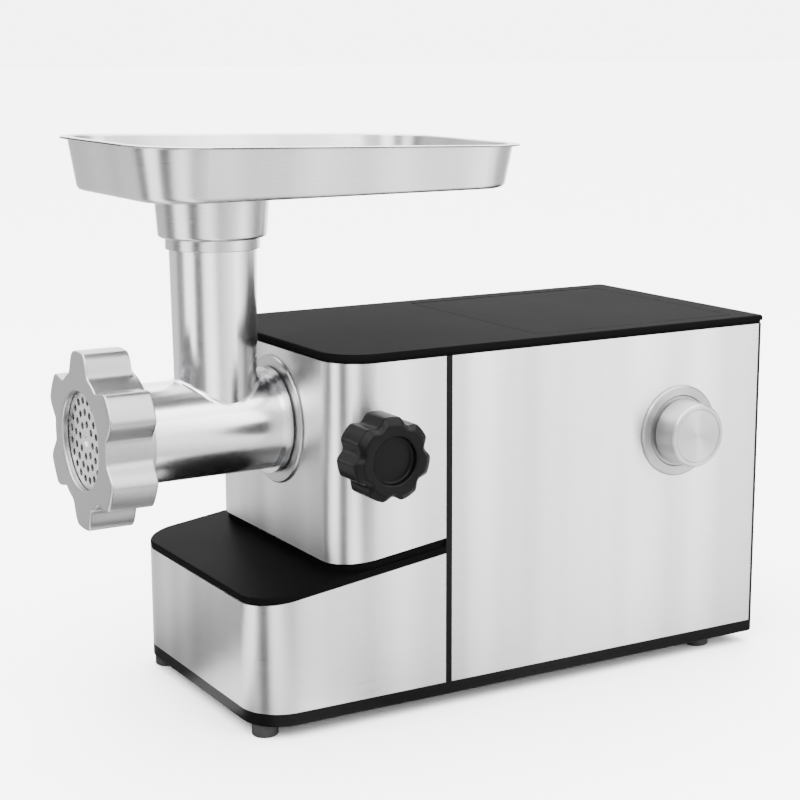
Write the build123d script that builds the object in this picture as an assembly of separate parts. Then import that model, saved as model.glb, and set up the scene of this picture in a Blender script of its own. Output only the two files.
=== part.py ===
"""Electric meat grinder: steel-clad motor housing, screw-locked grinding head and lift-off feed tray.

Millimetres, +Z up. The long front face of the housing looks along -Y and the grinding head points along -X.
The pieces are drawn from the upper block's left face (x = 0), the front face (y = 0) and the table (z = 0),
and are moved on export so that the origin is the centre of the bounding box, on the table.
"""

import os
from math import atan, cos, degrees, pi, radians, sin, sqrt, tan

from build123d import *

# ---------------------------------------------------------------- driving dimensions
# housing
BODY_LENGTH = 321.5  # upper block, main block and end cover together, along X
BODY_DEPTH = 182.0
BODY_TOP = 228.0
FOOT_REACH = 55.0  # how far the foot block stands out under the head
STRIP_X = 73.0  # where the upper block ends and the dark strip begins
STRIP_WIDTH = 4.4
END_COVER = 4.0  # dark cover on the far end
END_RIB = 6.0  # ribs of the end cover behind the steel
BASE_BOTTOM = 8.0
BASE_TOP = 16.2
BASE_WALL = 3.0
BASE_ROUND = 1.2
BASE_SLOTS = 6
BASE_SLOT_HALF = 30.0
FRONT_CORNER = 25.0  # plan radius of the corners at the head end
END_CORNER = 3.5  # plan radius of the corners at the far end
SHARP = 0.3  # least plan radius
SKIN = 1.2  # sheet steel
FRAME_DEPTH = 9.0  # how far the strip's frame goes in from the outside
LIP_WALL = 2.0
LIP_HEIGHT = 8.0
LIP_GAP = 0.2

# sloping deck on the foot block, and the band between it and the upper block
DECK_SLOPE = 0.135
DECK_TOP = 86.6  # at the left end
DECK_EDGE = 4.5
DECK_ROUND = 1.2
BAND_HEIGHT = 5.4
BAND_INSET = 1.6
BAND_WALL = 2.5

# lid and storage compartment
LID_HEIGHT = 5.6
LID_EDGE_OVER = 0.8
LID_GROOVE = 2.2
LID_GROOVE_IN = 0.6
LID_ROUND = 1.5
COVER_FROM_STRIP = 69.6
COVER_FROM_END = 18.5
COVER_FROM_FRONT = 12.0
COVER_FROM_BACK = 14.0
COVER_SEAM = 0.5
COVER_THICKNESS = 3.0
COVER_UNDER = 0.2  # gap under the cover
LEDGE = 3.0
BIN_DEPTH = 34.0
BIN_WALL = 2.0
BIN_FLANGE = 6.0
PIN_RADIUS = 1.1
PIN_IN_COVER = 8.0
PIN_IN_LID = 2.5

# feet
FOOT_RADIUS = 8.0
FOOT_INSET_X = 11.0
FOOT_INSET_END = 35.5
FOOT_INSET_Y = 17.0
FOOT_SCREW = 2.0
FOOT_SCREW_HEAD = 3.8
FOOT_COUNTERBORE = 4.2
FOOT_BEVEL = 0.8
BOSS_WALL = 3.0
BOSS_RISE = 2.0

# grinding head
AXIS_FORWARD = 3.0  # the head's axis stands this far in front of the housing's middle
AXIS_BELOW_TOP = 51.9
BARREL_REACH = 118.2  # from the upper block to the barrel's mouth
BARREL_BORE = 27.0
BARREL_WALL = 3.6
COLLAR_WALL = 8.5  # threaded collar under the ring nut
COLLAR_LENGTH = 20.2
HEAD_BACK = -3.0
HEAD_WALL_FRONT = -8.0  # front of the wall behind the feed screw
HEAD_RING_OVER = 2.9
HEAD_RING_WIDTH = 4.0
TAIL_UNDER = 2.8  # the tail is this much thinner than the barrel's bore
TAIL_TO_STRIP = 28.0
THROAT_X = -39.0
THROAT_RISE = 139.9  # from the axis to the throat's top
THROAT_BORE = 23.0
THROAT_TOP_WALL = 4.2
THROAT_FOOT_WALL = 2.4
THROAT_TAPER = 116.0  # height over which the throat widens
THROAT_STEP = 0.5  # the bore is this much narrower near the barrel
THROAT_STEP_RISE = 4.0  # above the barrel
SADDLE_BLEND = 3.0

# ring nut and cutting plate
NUT_OVERHANG = 9.8  # in front of the barrel's mouth
NUT_LENGTH = 32.0
NUT_WALL = 6.5
NUT_LOBE_RISE = 12.0
NUT_LOBE_WIDTH = 22.0
NUT_LOBES = 6
NUT_FILLET = 7.5
NUT_BEVEL = 1.2
NUT_SKIRT = 3.0
NUT_LIP = 4.0
NUT_SEAT = 2.0  # how far the lip covers the plate
THREAD_GAP = 0.3
PLATE_SEAT = 5.0  # the plate is this much wider than the bore
PLATE_GAP = 0.2
PLATE_HOLE = 2.3
PLATE_RINGS = ((10.0, 8), (17.0, 14), (24.0, 20))
PLATE_NOTCH = 4.0

# feed screw and knife
SCREW_PITCH = 24.0
SCREW_CORE = 9.0
SCREW_GAP = 0.6
SCREW_IN = 6.2  # from the barrel's mouth to the screw's front
SCREW_BACK = -12.0
FLIGHT_THICKNESS = 3.5
SHANK_RADIUS = 8.0
SHANK_SQUARE = 11.0
SHANK_TO_STRIP = 2.0
WASHER_RADIUS = 20.0
WASHER_GAP = 0.3
KNIFE_THICKNESS = 4.5
KNIFE_SQUARE = 9.0
KNIFE_HUB = 11.0
KNIFE_BLADE = 8.0
TIP_PIN = 4.0
RUNNING = 0.06  # radial clearance of a running fit

# head socket, bezel and lock
SOCKET_WALL = 5.5
SOCKET_FRONT = 2.0
SOCKET_FLANGE = 42.0
SOCKET_FLANGE_WIDTH = 4.0
SOCKET_SCREWS = 3
SOCKET_SCREW_CIRCLE = 36.0
SOCKET_SCREW = 2.5
SOCKET_SCREW_HEAD = 4.5
BEZEL_OVER = 9.9
BEZEL_WIDTH = 1.6
BEZEL_ROUND = 0.8
LOCK_X = 16.5
LOCK_BELOW_AXIS = 4.5
LOCK_RADIUS = 25.4
LOCK_LOBES = 7
LOCK_NOTCH = 8.5
LOCK_NOTCH_OUT = 5.5
LOCK_FRONT = -36.5
LOCK_BACK = -9.5
LOCK_BEVEL = 1.0
LOCK_HUB = 14.0
LOCK_HUB_BACK = -1.5
LOCK_RECESS = 14.4
LOCK_RECESS_DEPTH = 5.0
LOCK_STEM = 5.0
LOCK_STEM_GAP = 1.5  # round the stem in the steel
LOCK_STEM_IN_KNOB = 8.0
LOCK_BOSS = 9.0
LOCK_BOSS_FRONT = 9.0  # clear of the rounded corner
LOCK_BUSH_LENGTH = 12.0
LOCK_BUSH_WALL = 2.0
LOCK_PAD_LENGTH = 6.0
LOCK_PAD_GAP = 0.3

# control knob and switch
KNOB_FROM_END = 70.0
KNOB_BELOW_TOP = 71.0
KNOB_RADIUS = 21.4
KNOB_FRONT_RADIUS = 20.6
KNOB_FRONT = -21.0
KNOB_BACK = -2.4
KNOB_ROUND = 1.5
KNOB_BEZEL = 30.0
KNOB_BEZEL_WIDTH = 2.0
KNOB_BEZEL_BEVEL = 0.6
KNOB_STEM = 4.0
KNOB_STEM_GAP = 3.0
KNOB_STEM_IN = 8.0
SWITCH_SIZE = 40.0
SWITCH_DEPTH = 30.0
SWITCH_TABS = (-12.0, 0.0, 12.0)
TAB_WIDTH = 6.0
TAB_LENGTH = 8.0
TAB_THICKNESS = 1.0

# feed tray
TRAY_LEFT = 81.0  # from the throat's axis to the lip's left edge
TRAY_RIGHT = 175.0
TRAY_FORWARD = 98.0
TRAY_BACKWARD = 69.0
TRAY_CORNER = 38.0
TRAY_LIP = 4.5
TRAY_DRAFT = 5.0
TRAY_CLEARANCE = 5.0  # the tray's floor above the throat
TRAY_HEIGHT = 32.5  # at the throat end
TRAY_RIM_SLOPE = -0.026
TRAY_SHEET = 1.4
TRAY_BOTTOM_BLEND = 4.0
NECK_TOP_OVER = 7.8
NECK_LOW_OVER = 5.8
NECK_RIM_OVER = 1.6
NECK_LOW_DROP = 23.0  # below the throat's top
NECK_DROP = 30.0
NECK_GAP = 0.3

# gear train, from the motor up to the output: teeth of pinion and gear, and module, in each stage
STAGES = ((12, 48, 1.0), (12, 40, 1.25), (12, 48, 1.5))
STAGE_WIDTHS = (6.0, 8.0, 14.0)
PINION_OVER = 0.5  # a pinion is this much wider than its gear on each side
PRESSURE_ANGLE = 25.0
DEDENDUM = 1.25
FLANK_STEPS = 3
BACKLASH = 0.16
GEAR_PLATE = 4.0
GEAR_PLATE_HALF = 46.0
GEAR_PLATE_CORNER = 5.0
GEAR_GAP = 2.5  # between gears and plates along X
CASE_BELOW_MOTOR = 22.0
CASE_ABOVE_AXIS = 41.0
OUTPUT_SHAFT = 8.0
IDLER_SHAFT = 4.0
SHAFT_END_GAP = 0.3
BUSH_WALL = 2.0
POST_RADIUS = 4.0
POST_INSET = 8.0
CASE_SCREW = 1.8
CASE_SCREW_HEAD = 3.4
SCREW_TIP_GAP = 0.5
PAN_HEAD = 2.2  # height of a pan head
COUPLING_RADIUS = 14.0
COUPLING_TO_STRIP = 21.0
COUPLING_GAP = 0.25
COUPLING_END_GAP = 0.7
PINION_HOLE = 9.0

# motor
MOTOR_SHAFT = 4.0
BRACKET = 4.0
BRACKET_HALF = 42.0
BRACKET_LEG_HALF = 25.0
STATOR_LENGTH = 48.0
STATOR_HALF = 40.0
STATOR_CORNER = 6.0
ROTOR_RADIUS = 22.0
ROTOR_SLOTS = 12
ROTOR_SLOT = (10.0, 2.4)
ROTOR_SLOT_IN = 4.0
AIR_GAP = 0.8
COIL_RADII = (25.0, 33.0)
COIL_HALF_ANGLE = 50.0
COIL_OVERHANG = 8.0
WINDING_SHORT = 2.0
FAN_GAP = 10.6
FAN_WIDTH = 10.0
FAN_DISC = 2.0
FAN_TO_COILS = 2.0
FAN_RADIUS = 30.0
FAN_HUB_WALL = 4.0
FAN_BLADES = 9
FAN_BLADE = (18.0, 1.8)
FAN_BLADE_MIDDLE = 20.0
COMMUTATOR_GAP = 6.0
COMMUTATOR_WIDTH = 16.0
COMMUTATOR_RADIUS = 12.0
COMMUTATOR_BARS = 24
COMMUTATOR_SLOT = (2.0, 0.5)
COMMUTATOR_TO_BRACKET = 10.0
BRUSH_SIZE = 6.0
BRUSH_GAP = 0.4
BRUSH_LENGTH = 17.6
HOLDER_GAP = 3.0
HOLDER_LENGTH = 19.0
HOLDER_WALL = 2.0
BEARING_RADIUS = 9.0
TIE_SCREW = 2.0
TIE_SCREW_HEAD = 3.6
TIE_INSET = 5.0

# electrical pieces and vents
INLET_FROM_END = 36.5
INLET_Z = 40.0
INLET_BORE = 3.5
INLET_BODY = 7.0
INLET_FLANGE = 10.0
INLET_FLANGE_WIDTH = 3.0
INLET_CLIP = 9.0
INLET_CLIP_WIDTH = 2.0
INLET_INSIDE = 5.0
VENT_FROM_END = 61.5
VENT_WIDTH = 100.0
VENT_Z0 = 40.0
VENT_Z1 = 92.0
VENT_SLOT = 5.0
VENT_PITCH = 10.0
VENT_WALL = 2.5
VENT_FLANGE = 3.0
VENT_MARGIN = 5.0
TERMINALS = 3
TERMINAL_PITCH = 9.0
TERMINAL_HOLE = 2.5
TERMINAL_SIZE = (30.0, 20.0, 16.0)
TERMINAL_FROM_BACK = 32.0
SUPPRESSOR_SIZE = (20.0, 30.0, 22.0)
SUPPRESSOR_FROM_BACK = 62.0

# ---------------------------------------------------------------- worked-out places
BODY_X0 = -FOOT_REACH
MID_X = STRIP_X + STRIP_WIDTH
STEEL_END = BODY_LENGTH - END_COVER
FLOOR_TOP = BASE_BOTTOM + BASE_WALL
LIP_IN = SKIN + LIP_GAP
LID_BOTTOM = BODY_TOP - LID_HEIGHT
LID_GROOVE_TOP = LID_BOTTOM + LID_GROOVE
BAND_FOOT = DECK_TOP + DECK_SLOPE * FOOT_REACH
COVER_X0 = MID_X + COVER_FROM_STRIP
COVER_X1 = BODY_LENGTH - COVER_FROM_END
COVER_Y0 = COVER_FROM_FRONT
COVER_Y1 = BODY_DEPTH - COVER_FROM_BACK
COVER_BOTTOM = BODY_TOP - COVER_THICKNESS
HINGE_Y = COVER_Y1 - COVER_SEAM - COVER_THICKNESS / 2
HINGE_Z = BODY_TOP - COVER_THICKNESS / 2

AXIS_Y = BODY_DEPTH / 2 - AXIS_FORWARD
AXIS_Z = BODY_TOP - AXIS_BELOW_TOP
BARREL_FRONT = -BARREL_REACH
BARREL_RADIUS = BARREL_BORE + BARREL_WALL
COLLAR_RADIUS = BARREL_BORE + COLLAR_WALL
COLLAR_BACK = BARREL_FRONT + COLLAR_LENGTH
HEAD_RING_RADIUS = BARREL_RADIUS + HEAD_RING_OVER
BEZEL_RADIUS = BARREL_RADIUS + BEZEL_OVER
TAIL_RADIUS = BARREL_BORE - TAIL_UNDER
TAIL_END = STRIP_X - TAIL_TO_STRIP
THROAT_TOP = AXIS_Z + THROAT_RISE
THROAT_TOP_RADIUS = THROAT_BORE + THROAT_TOP_WALL
THROAT_FOOT_RADIUS = THROAT_BORE + THROAT_FOOT_WALL
THROAT_STEP_Z = AXIS_Z + BARREL_RADIUS + THROAT_STEP_RISE
NUT_FRONT = BARREL_FRONT - NUT_OVERHANG
NUT_BACK = NUT_FRONT + NUT_LENGTH
NUT_RADIUS = COLLAR_RADIUS + NUT_WALL
NUT_LOBE_RADIUS = NUT_RADIUS + NUT_LOBE_RISE
PLATE_RADIUS = BARREL_BORE + PLATE_SEAT
NUT_MOUTH = PLATE_RADIUS - NUT_SEAT
PLATE_BACK = BARREL_FRONT - PLATE_GAP
PLATE_FRONT = NUT_FRONT + NUT_LIP + PLATE_GAP
KNIFE_FRONT = BARREL_FRONT
KNIFE_BACK = KNIFE_FRONT + KNIFE_THICKNESS
SCREW_FRONT = BARREL_FRONT + SCREW_IN
SHANK_END = STRIP_X - SHANK_TO_STRIP
COUPLING_FRONT = STRIP_X - COUPLING_TO_STRIP

SOCKET_BORE = TAIL_RADIUS + RUNNING
SOCKET_RADIUS = SOCKET_BORE + SOCKET_WALL
LOCK_Z = AXIS_Z - LOCK_BELOW_AXIS
LOCK_TIP = AXIS_Y - TAIL_RADIUS - LOCK_PAD_GAP
KNOB_X = BODY_LENGTH - KNOB_FROM_END
KNOB_Z = BODY_TOP - KNOB_BELOW_TOP

TRAY_X0 = THROAT_X - TRAY_LEFT
TRAY_X1 = THROAT_X + TRAY_RIGHT
TRAY_Y0 = AXIS_Y - TRAY_FORWARD
TRAY_Y1 = AXIS_Y + TRAY_BACKWARD
TRAY_FLOOR = THROAT_TOP + TRAY_CLEARANCE
TRAY_RIM = TRAY_FLOOR + TRAY_HEIGHT
NECK_LOW_Z = THROAT_TOP - NECK_LOW_DROP
NECK_BOTTOM = THROAT_TOP - NECK_DROP

PLATE_X0 = MID_X
GEAR_X0 = PLATE_X0 + GEAR_PLATE
OUTPUT_GEAR_X = (GEAR_X0 + GEAR_GAP, GEAR_X0 + GEAR_GAP + STAGE_WIDTHS[2])
MIDDLE_GEAR_X = (OUTPUT_GEAR_X[1] + GEAR_GAP, OUTPUT_GEAR_X[1] + GEAR_GAP + STAGE_WIDTHS[1])
FIRST_GEAR_X = (MIDDLE_GEAR_X[1] + GEAR_GAP, MIDDLE_GEAR_X[1] + GEAR_GAP + STAGE_WIDTHS[0])
REAR_PLATE_X = FIRST_GEAR_X[1] + GEAR_GAP
STAGE_DISTANCE = [module * (pinion + gear) / 2 for pinion, gear, module in STAGES]
OUTPUT_Z = AXIS_Z
MIDDLE_Z = OUTPUT_Z - STAGE_DISTANCE[2]
FIRST_Z = MIDDLE_Z - STAGE_DISTANCE[1]
MOTOR_Z = FIRST_Z - STAGE_DISTANCE[0]
SHAFTS = ((OUTPUT_Z, OUTPUT_SHAFT), (MIDDLE_Z, IDLER_SHAFT), (FIRST_Z, IDLER_SHAFT))
CASE_Z0 = MOTOR_Z - CASE_BELOW_MOTOR
CASE_Z1 = AXIS_Z + CASE_ABOVE_AXIS
BRACKET_X = REAR_PLATE_X + GEAR_PLATE
FAN_X = (BRACKET_X + BRACKET + FAN_GAP, BRACKET_X + BRACKET + FAN_GAP + FAN_WIDTH)
STATOR_X0 = FAN_X[1] + FAN_TO_COILS + COIL_OVERHANG
STATOR_X = (STATOR_X0, STATOR_X0 + STATOR_LENGTH)
COIL_X = (STATOR_X[0] - COIL_OVERHANG, STATOR_X[1] + COIL_OVERHANG)
COMMUTATOR_X = (COIL_X[1] + COMMUTATOR_GAP, COIL_X[1] + COMMUTATOR_GAP + COMMUTATOR_WIDTH)
REAR_BRACKET_X = COMMUTATOR_X[1] + COMMUTATOR_TO_BRACKET

INLET_X = BODY_LENGTH - INLET_FROM_END
VENT_X1 = BODY_LENGTH - VENT_FROM_END
VENT_X0 = VENT_X1 - VENT_WIDTH
FEET = [
    (x, y)
    for x in (BODY_X0 + FOOT_INSET_X, BODY_LENGTH - FOOT_INSET_END)
    for y in (FOOT_INSET_Y, BODY_DEPTH - FOOT_INSET_Y)
]
SCREW_PLACES = [
    (AXIS_Y + SOCKET_SCREW_CIRCLE * cos(angle), AXIS_Z + SOCKET_SCREW_CIRCLE * sin(angle))
    for angle in (pi / 6 + 2 * pi * k / SOCKET_SCREWS for k in range(SOCKET_SCREWS))
]

CORNER_ALIGN = (Align.MIN, Align.MIN, Align.MIN)
FOOT_ALIGN = (Align.CENTER, Align.CENTER, Align.MIN)
TOP_ALIGN = (Align.CENTER, Align.CENTER, Align.MAX)
WIDE = 1200.0  # larger than the whole part, for cutting slabs


# ---------------------------------------------------------------- drawing helpers
def block(x0, x1, y0, y1, z0, z1):
    """A box between two corners."""
    return Pos(x0, y0, z0) * Box(x1 - x0, y1 - y0, z1 - z0, align=CORNER_ALIGN)


def rod_x(radius, x0, x1, y=AXIS_Y, z=AXIS_Z):
    """A round bar along X."""
    return Pos(x0, y, z) * Rot(0, 90, 0) * Cylinder(radius, x1 - x0, align=FOOT_ALIGN)


def rod_y(radius, y0, y1, x, z):
    """A round bar along Y."""
    return Pos(x, y0, z) * Rot(-90, 0, 0) * Cylinder(radius, y1 - y0, align=FOOT_ALIGN)


def rod_z(radius, z0, z1, x, y):
    """A round bar along Z."""
    return Pos(x, y, z0) * Cylinder(radius, z1 - z0, align=FOOT_ALIGN)


def cone_z(low_radius, high_radius, z0, z1, x, y):
    """A round bar along Z that tapers evenly."""
    return Pos(x, y, z0) * Cone(low_radius, high_radius, z1 - z0, align=FOOT_ALIGN)


def across_x(sketch, x0, x1, y=AXIS_Y, z=AXIS_Z):
    """A sketch drawn in Y and Z, made solid from x0 to x1."""
    plane = Plane(origin=(x0, y, z), x_dir=(0, 1, 0), z_dir=(1, 0, 0))
    return plane.location * extrude(sketch, x1 - x0)


def across_y(sketch, y0, y1, x, z):
    """A sketch drawn in X and Z, made solid from y0 to y1."""
    plane = Plane(origin=(x, y1, z), x_dir=(1, 0, 0), z_dir=(0, -1, 0))
    return plane.location * extrude(sketch, y1 - y0)


def plan(x0, x1, inset=0.0, over=0.0):
    """The housing's plan between x0 and x1, with rounded corners, drawn in by an inset."""
    move = inset - over
    width = x1 - x0 - 2 * move
    depth = BODY_DEPTH - 2 * move
    outline = Pos((x0 + x1) / 2, BODY_DEPTH / 2) * Rectangle(width, depth)
    corners = outline.vertices().sort_by(Axis.X)
    outline = fillet(corners[:2], FRONT_CORNER - move)
    corners = outline.vertices().sort_by(Axis.X)
    return fillet(corners[-2:], max(END_CORNER - move, SHARP))


def prism(sketch, z0, z1):
    """A plan sketch made solid from z0 to z1."""
    return Pos(0, 0, z0) * extrude(sketch, z1 - z0)


def ring_prism(x0, x1, inset, wall, z0, z1):
    """An upright wall that follows the housing's plan."""
    outer = prism(plan(x0, x1, inset), z0, z1)
    return outer - prism(plan(x0, x1, inset + wall), z0 - 1, z1 + 1)


def across(x0, x1, z0, z1):
    """Everything in the housing's depth between two X and two Z values."""
    return block(x0, x1, -WIDE / 2, WIDE / 2, z0, z1)


def slab(x, z, slope, height):
    """A wide slab of a given upright height whose top passes through (x, z) and climbs along X by the slope."""
    tilt = Rot(0, -degrees(atan(slope)), 0)
    thickness = height * cos(atan(slope))
    return Pos(x, BODY_DEPTH / 2, z) * tilt * Box(WIDE, WIDE, thickness, align=TOP_ALIGN)


def space_above(x, z, slope):
    """Everything above a plane through (x, z) that climbs along X by the slope."""
    tilt = Rot(0, -degrees(atan(slope)), 0)
    return Pos(x, BODY_DEPTH / 2, z) * tilt * Box(WIDE, WIDE, WIDE, align=FOOT_ALIGN)


def ring_of(count, radius, start=0.0):
    """Evenly spaced places on a circle, as 2D locations that turn with the circle."""
    return [Rot(0, 0, start + 360 * k / count) * Pos(radius, 0) for k in range(count)]


def screw_x(radius, head_radius, x_head, x_tip, y, z):
    """A pan-head screw along X, with its head standing on x_head and its tip at x_tip."""
    way = 1 if x_tip > x_head else -1
    x_top = x_head - way * PAN_HEAD
    head = rod_x(head_radius, min(x_head, x_top), max(x_head, x_top), y, z)
    shank = rod_x(radius, min(x_head, x_tip), max(x_head, x_tip), y, z)
    return head + shank


# ---------------------------------------------------------------- gears
def gear_outline(teeth, module, tooth_at):
    """A spur gear's outline with involute flanks; one tooth is centred at the angle tooth_at, in degrees."""
    pitch = teeth * module / 2
    base = pitch * cos(radians(PRESSURE_ANGLE))
    tip = pitch + module
    root = pitch - DEDENDUM * module
    involute_at_pitch = tan(radians(PRESSURE_ANGLE)) - radians(PRESSURE_ANGLE)
    half = pi / (2 * teeth) - BACKLASH / (2 * pitch)
    start = max(base, root)
    radii = [start + (tip - start) * k / FLANK_STEPS for k in range(FLANK_STEPS + 1)]

    def half_angle(radius):
        roll = sqrt(max(radius * radius / (base * base) - 1, 0))
        return half + involute_at_pitch - (roll - atan(roll))

    flank = [(root, half_angle(start))] * (start > root) + [(r, half_angle(r)) for r in radii]
    points = []
    for k in range(teeth):
        centre = radians(tooth_at) + 2 * pi * k / teeth
        points += [(r * cos(centre - a), r * sin(centre - a)) for r, a in flank]
        points += [(r * cos(centre + a), r * sin(centre + a)) for r, a in reversed(flank)]
    return make_face(Polyline(*points, close=True))


def gear(stage, is_pinion, x0, x1, z, bore):
    """A gear of one stage: the upper wheel has a tooth pointing down, and the lower one a gap pointing up."""
    pinion, wheel, module = STAGES[stage]
    teeth = pinion if is_pinion else wheel
    tooth_at = 90 + 180 / teeth if is_pinion else -90
    outline = gear_outline(teeth, module, tooth_at)
    return across_x(outline - Circle(bore), x0, x1, AXIS_Y, z)


# ---------------------------------------------------------------- housing
def base_pan():
    """Dark pan under the housing: floor, rim, a lip inside the steel, screw bosses and floor vents."""
    pan = prism(plan(BODY_X0, BODY_LENGTH), BASE_BOTTOM, BASE_TOP)
    pan = fillet(pan.faces().sort_by(Axis.Z)[0].edges(), BASE_ROUND)
    pan -= prism(plan(BODY_X0, STEEL_END, BASE_WALL + SKIN), FLOOR_TOP, BASE_TOP)
    lip = ring_prism(BODY_X0, STEEL_END, LIP_IN, BASE_WALL, FLOOR_TOP, BASE_TOP + LIP_HEIGHT)
    pan += lip - across(STRIP_X - LIP_GAP, MID_X + LIP_GAP, BASE_TOP, BASE_TOP + LIP_HEIGHT)
    for x, y in FEET:
        pan += rod_z(FOOT_SCREW + BOSS_WALL, FLOOR_TOP, BASE_TOP + BOSS_RISE, x, y)
        pan -= rod_z(FOOT_SCREW, BASE_BOTTOM, BASE_TOP + BOSS_RISE, x, y)
    y0, y1 = AXIS_Y - BASE_SLOT_HALF, AXIS_Y + BASE_SLOT_HALF
    for k in range(BASE_SLOTS):
        slot_x = STATOR_X[0] + k * VENT_PITCH
        pan -= block(slot_x, slot_x + VENT_SLOT, y0, y1, BASE_BOTTOM, FLOOR_TOP)
    return pan


def rubber_feet():
    """Four round feet with a counterbore for the screw."""
    foot = rod_z(FOOT_RADIUS, 0, BASE_BOTTOM, 0, 0) - rod_z(FOOT_SCREW, 0, BASE_BOTTOM, 0, 0)
    foot = chamfer(foot.faces().sort_by(Axis.Z)[0].outer_wire().edges(), FOOT_BEVEL)
    foot -= rod_z(FOOT_COUNTERBORE, 0, BASE_BOTTOM / 2, 0, 0)
    return [Pos(x, y, 0) * foot for x, y in FEET]


def foot_screws():
    """One screw up through each foot into the pan."""
    seat = BASE_BOTTOM / 2
    screw = rod_z(FOOT_SCREW_HEAD, seat - PAN_HEAD, seat, 0, 0) + rod_z(FOOT_SCREW, seat, BASE_TOP, 0, 0)
    return [Pos(x, y, 0) * screw for x, y in FEET]


def lower_skin():
    """Steel wrap round the foot block, up to the edge of the sloping deck."""
    shell = ring_prism(BODY_X0, BODY_LENGTH, 0, SKIN, BASE_TOP, BODY_TOP)
    shell &= across(BODY_X0 - 1, STRIP_X, BASE_TOP, BODY_TOP)
    return shell - space_above(BODY_X0, DECK_TOP - DECK_EDGE, DECK_SLOPE)


def platform_deck():
    """Dark sloping deck, with a lip into the steel below and a band up to the upper block."""
    low_z = DECK_TOP - DECK_EDGE - LIP_HEIGHT - 1
    top = slab(BODY_X0, DECK_TOP, DECK_SLOPE, DECK_EDGE)
    deck = prism(plan(BODY_X0, BODY_LENGTH), low_z, BODY_TOP) & top
    deck = fillet(deck.faces().sort_by(Axis.Z)[-1].edges(), DECK_ROUND)
    deck &= across(BODY_X0 - 1, STRIP_X, low_z, BODY_TOP)
    lip = ring_prism(BODY_X0, BODY_LENGTH, LIP_IN, LIP_WALL, low_z, BODY_TOP)
    lip &= slab(BODY_X0, DECK_TOP - DECK_EDGE, DECK_SLOPE, LIP_HEIGHT)
    lip &= across(BODY_X0 - 1, STRIP_X - FRAME_DEPTH, low_z, BODY_TOP)
    band = ring_prism(0, BODY_LENGTH, BAND_INSET, BAND_WALL, low_z, BODY_TOP)
    band &= slab(0, BAND_FOOT + BAND_HEIGHT, DECK_SLOPE, BAND_HEIGHT + DECK_EDGE / 2)
    return deck + lip + (band & across(-1, STRIP_X, low_z, BODY_TOP))


def upper_skin():
    """Steel wrap round the upper block, with the head's opening and the lock stem's hole."""
    shell = ring_prism(0, BODY_LENGTH, 0, SKIN, BASE_TOP, LID_BOTTOM)
    shell &= across(-1, STRIP_X, BASE_TOP, LID_BOTTOM)
    shell -= slab(0, BAND_FOOT + BAND_HEIGHT, DECK_SLOPE, WIDE)
    shell -= rod_x(HEAD_RING_RADIUS, -1, SKIN + 1)
    return shell - rod_y(LOCK_STEM + LOCK_STEM_GAP, -1, LOCK_BOSS_FRONT, LOCK_X, LOCK_Z)


def centre_frame():
    """Dark upright frame between the two blocks, with the wall that carries the head socket and the gears."""
    x0, x1 = STRIP_X - 1, MID_X + 1
    frame = block(STRIP_X, MID_X, 0, BODY_DEPTH, BASE_TOP, LID_BOTTOM)
    window_z = (BASE_TOP + LIP_HEIGHT, CASE_Z0 - GEAR_PLATE_CORNER)
    frame -= block(x0, x1, FRAME_DEPTH, BODY_DEPTH - FRAME_DEPTH, *window_z)
    frame -= rod_x(SOCKET_BORE, x0, x1)
    for y, z in SCREW_PLACES:
        frame -= rod_x(SOCKET_SCREW, x0, x1, y, z)
    return frame


def main_skin():
    """Steel sheets of the main block, front and back, with holes for knob, vents and cord."""
    outside, inside = BODY_DEPTH + 1, BODY_DEPTH - SKIN - 1
    front = block(MID_X, STEEL_END, 0, SKIN, BASE_TOP, LID_BOTTOM)
    front -= rod_y(KNOB_STEM + KNOB_STEM_GAP, -1, SKIN + 1, KNOB_X, KNOB_Z)
    back = block(MID_X, STEEL_END, BODY_DEPTH - SKIN, BODY_DEPTH, BASE_TOP, LID_BOTTOM)
    back -= block(VENT_X0, VENT_X1, inside, outside, VENT_Z0, VENT_Z1)
    return [front, back - rod_y(INLET_BODY, inside, outside, INLET_X, INLET_Z)]


def end_cover():
    """Dark cover of the far end, with a rib behind each steel sheet."""
    cover = prism(plan(0, BODY_LENGTH), BASE_TOP, LID_BOTTOM)
    cover &= across(STEEL_END, BODY_LENGTH + 1, BASE_TOP, LID_BOTTOM)
    z0, z1 = BASE_TOP + LIP_HEIGHT + 1, LID_BOTTOM - LIP_HEIGHT
    for y0 in (LIP_IN, BODY_DEPTH - LIP_IN - LIP_WALL):
        cover += block(STEEL_END - END_RIB, STEEL_END, y0, y0 + LIP_WALL, z0, z1)
    return cover


def vent_grille():
    """Slotted dark grille that fills the opening at the back."""
    x0, x1, z0, z1 = VENT_X0, VENT_X1, VENT_Z0, VENT_Z1
    flange = VENT_FLANGE
    steel_y = BODY_DEPTH - SKIN
    grille = block(x0, x1, BODY_DEPTH - VENT_WALL, BODY_DEPTH, z0, z1)
    grille += block(x0 - flange, x1 + flange, steel_y - VENT_WALL, steel_y, z0 - flange, z1 + flange)
    count = int((VENT_WIDTH - VENT_SLOT) / VENT_PITCH)
    first = (x0 + x1 - (count - 1) * VENT_PITCH - VENT_SLOT) / 2
    for k in range(count):
        x = first + k * VENT_PITCH
        y0, y1 = steel_y - VENT_WALL - 1, BODY_DEPTH + 1
        grille -= block(x, x + VENT_SLOT, y0, y1, z0 + VENT_MARGIN, z1 - VENT_MARGIN)
    return grille


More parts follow.
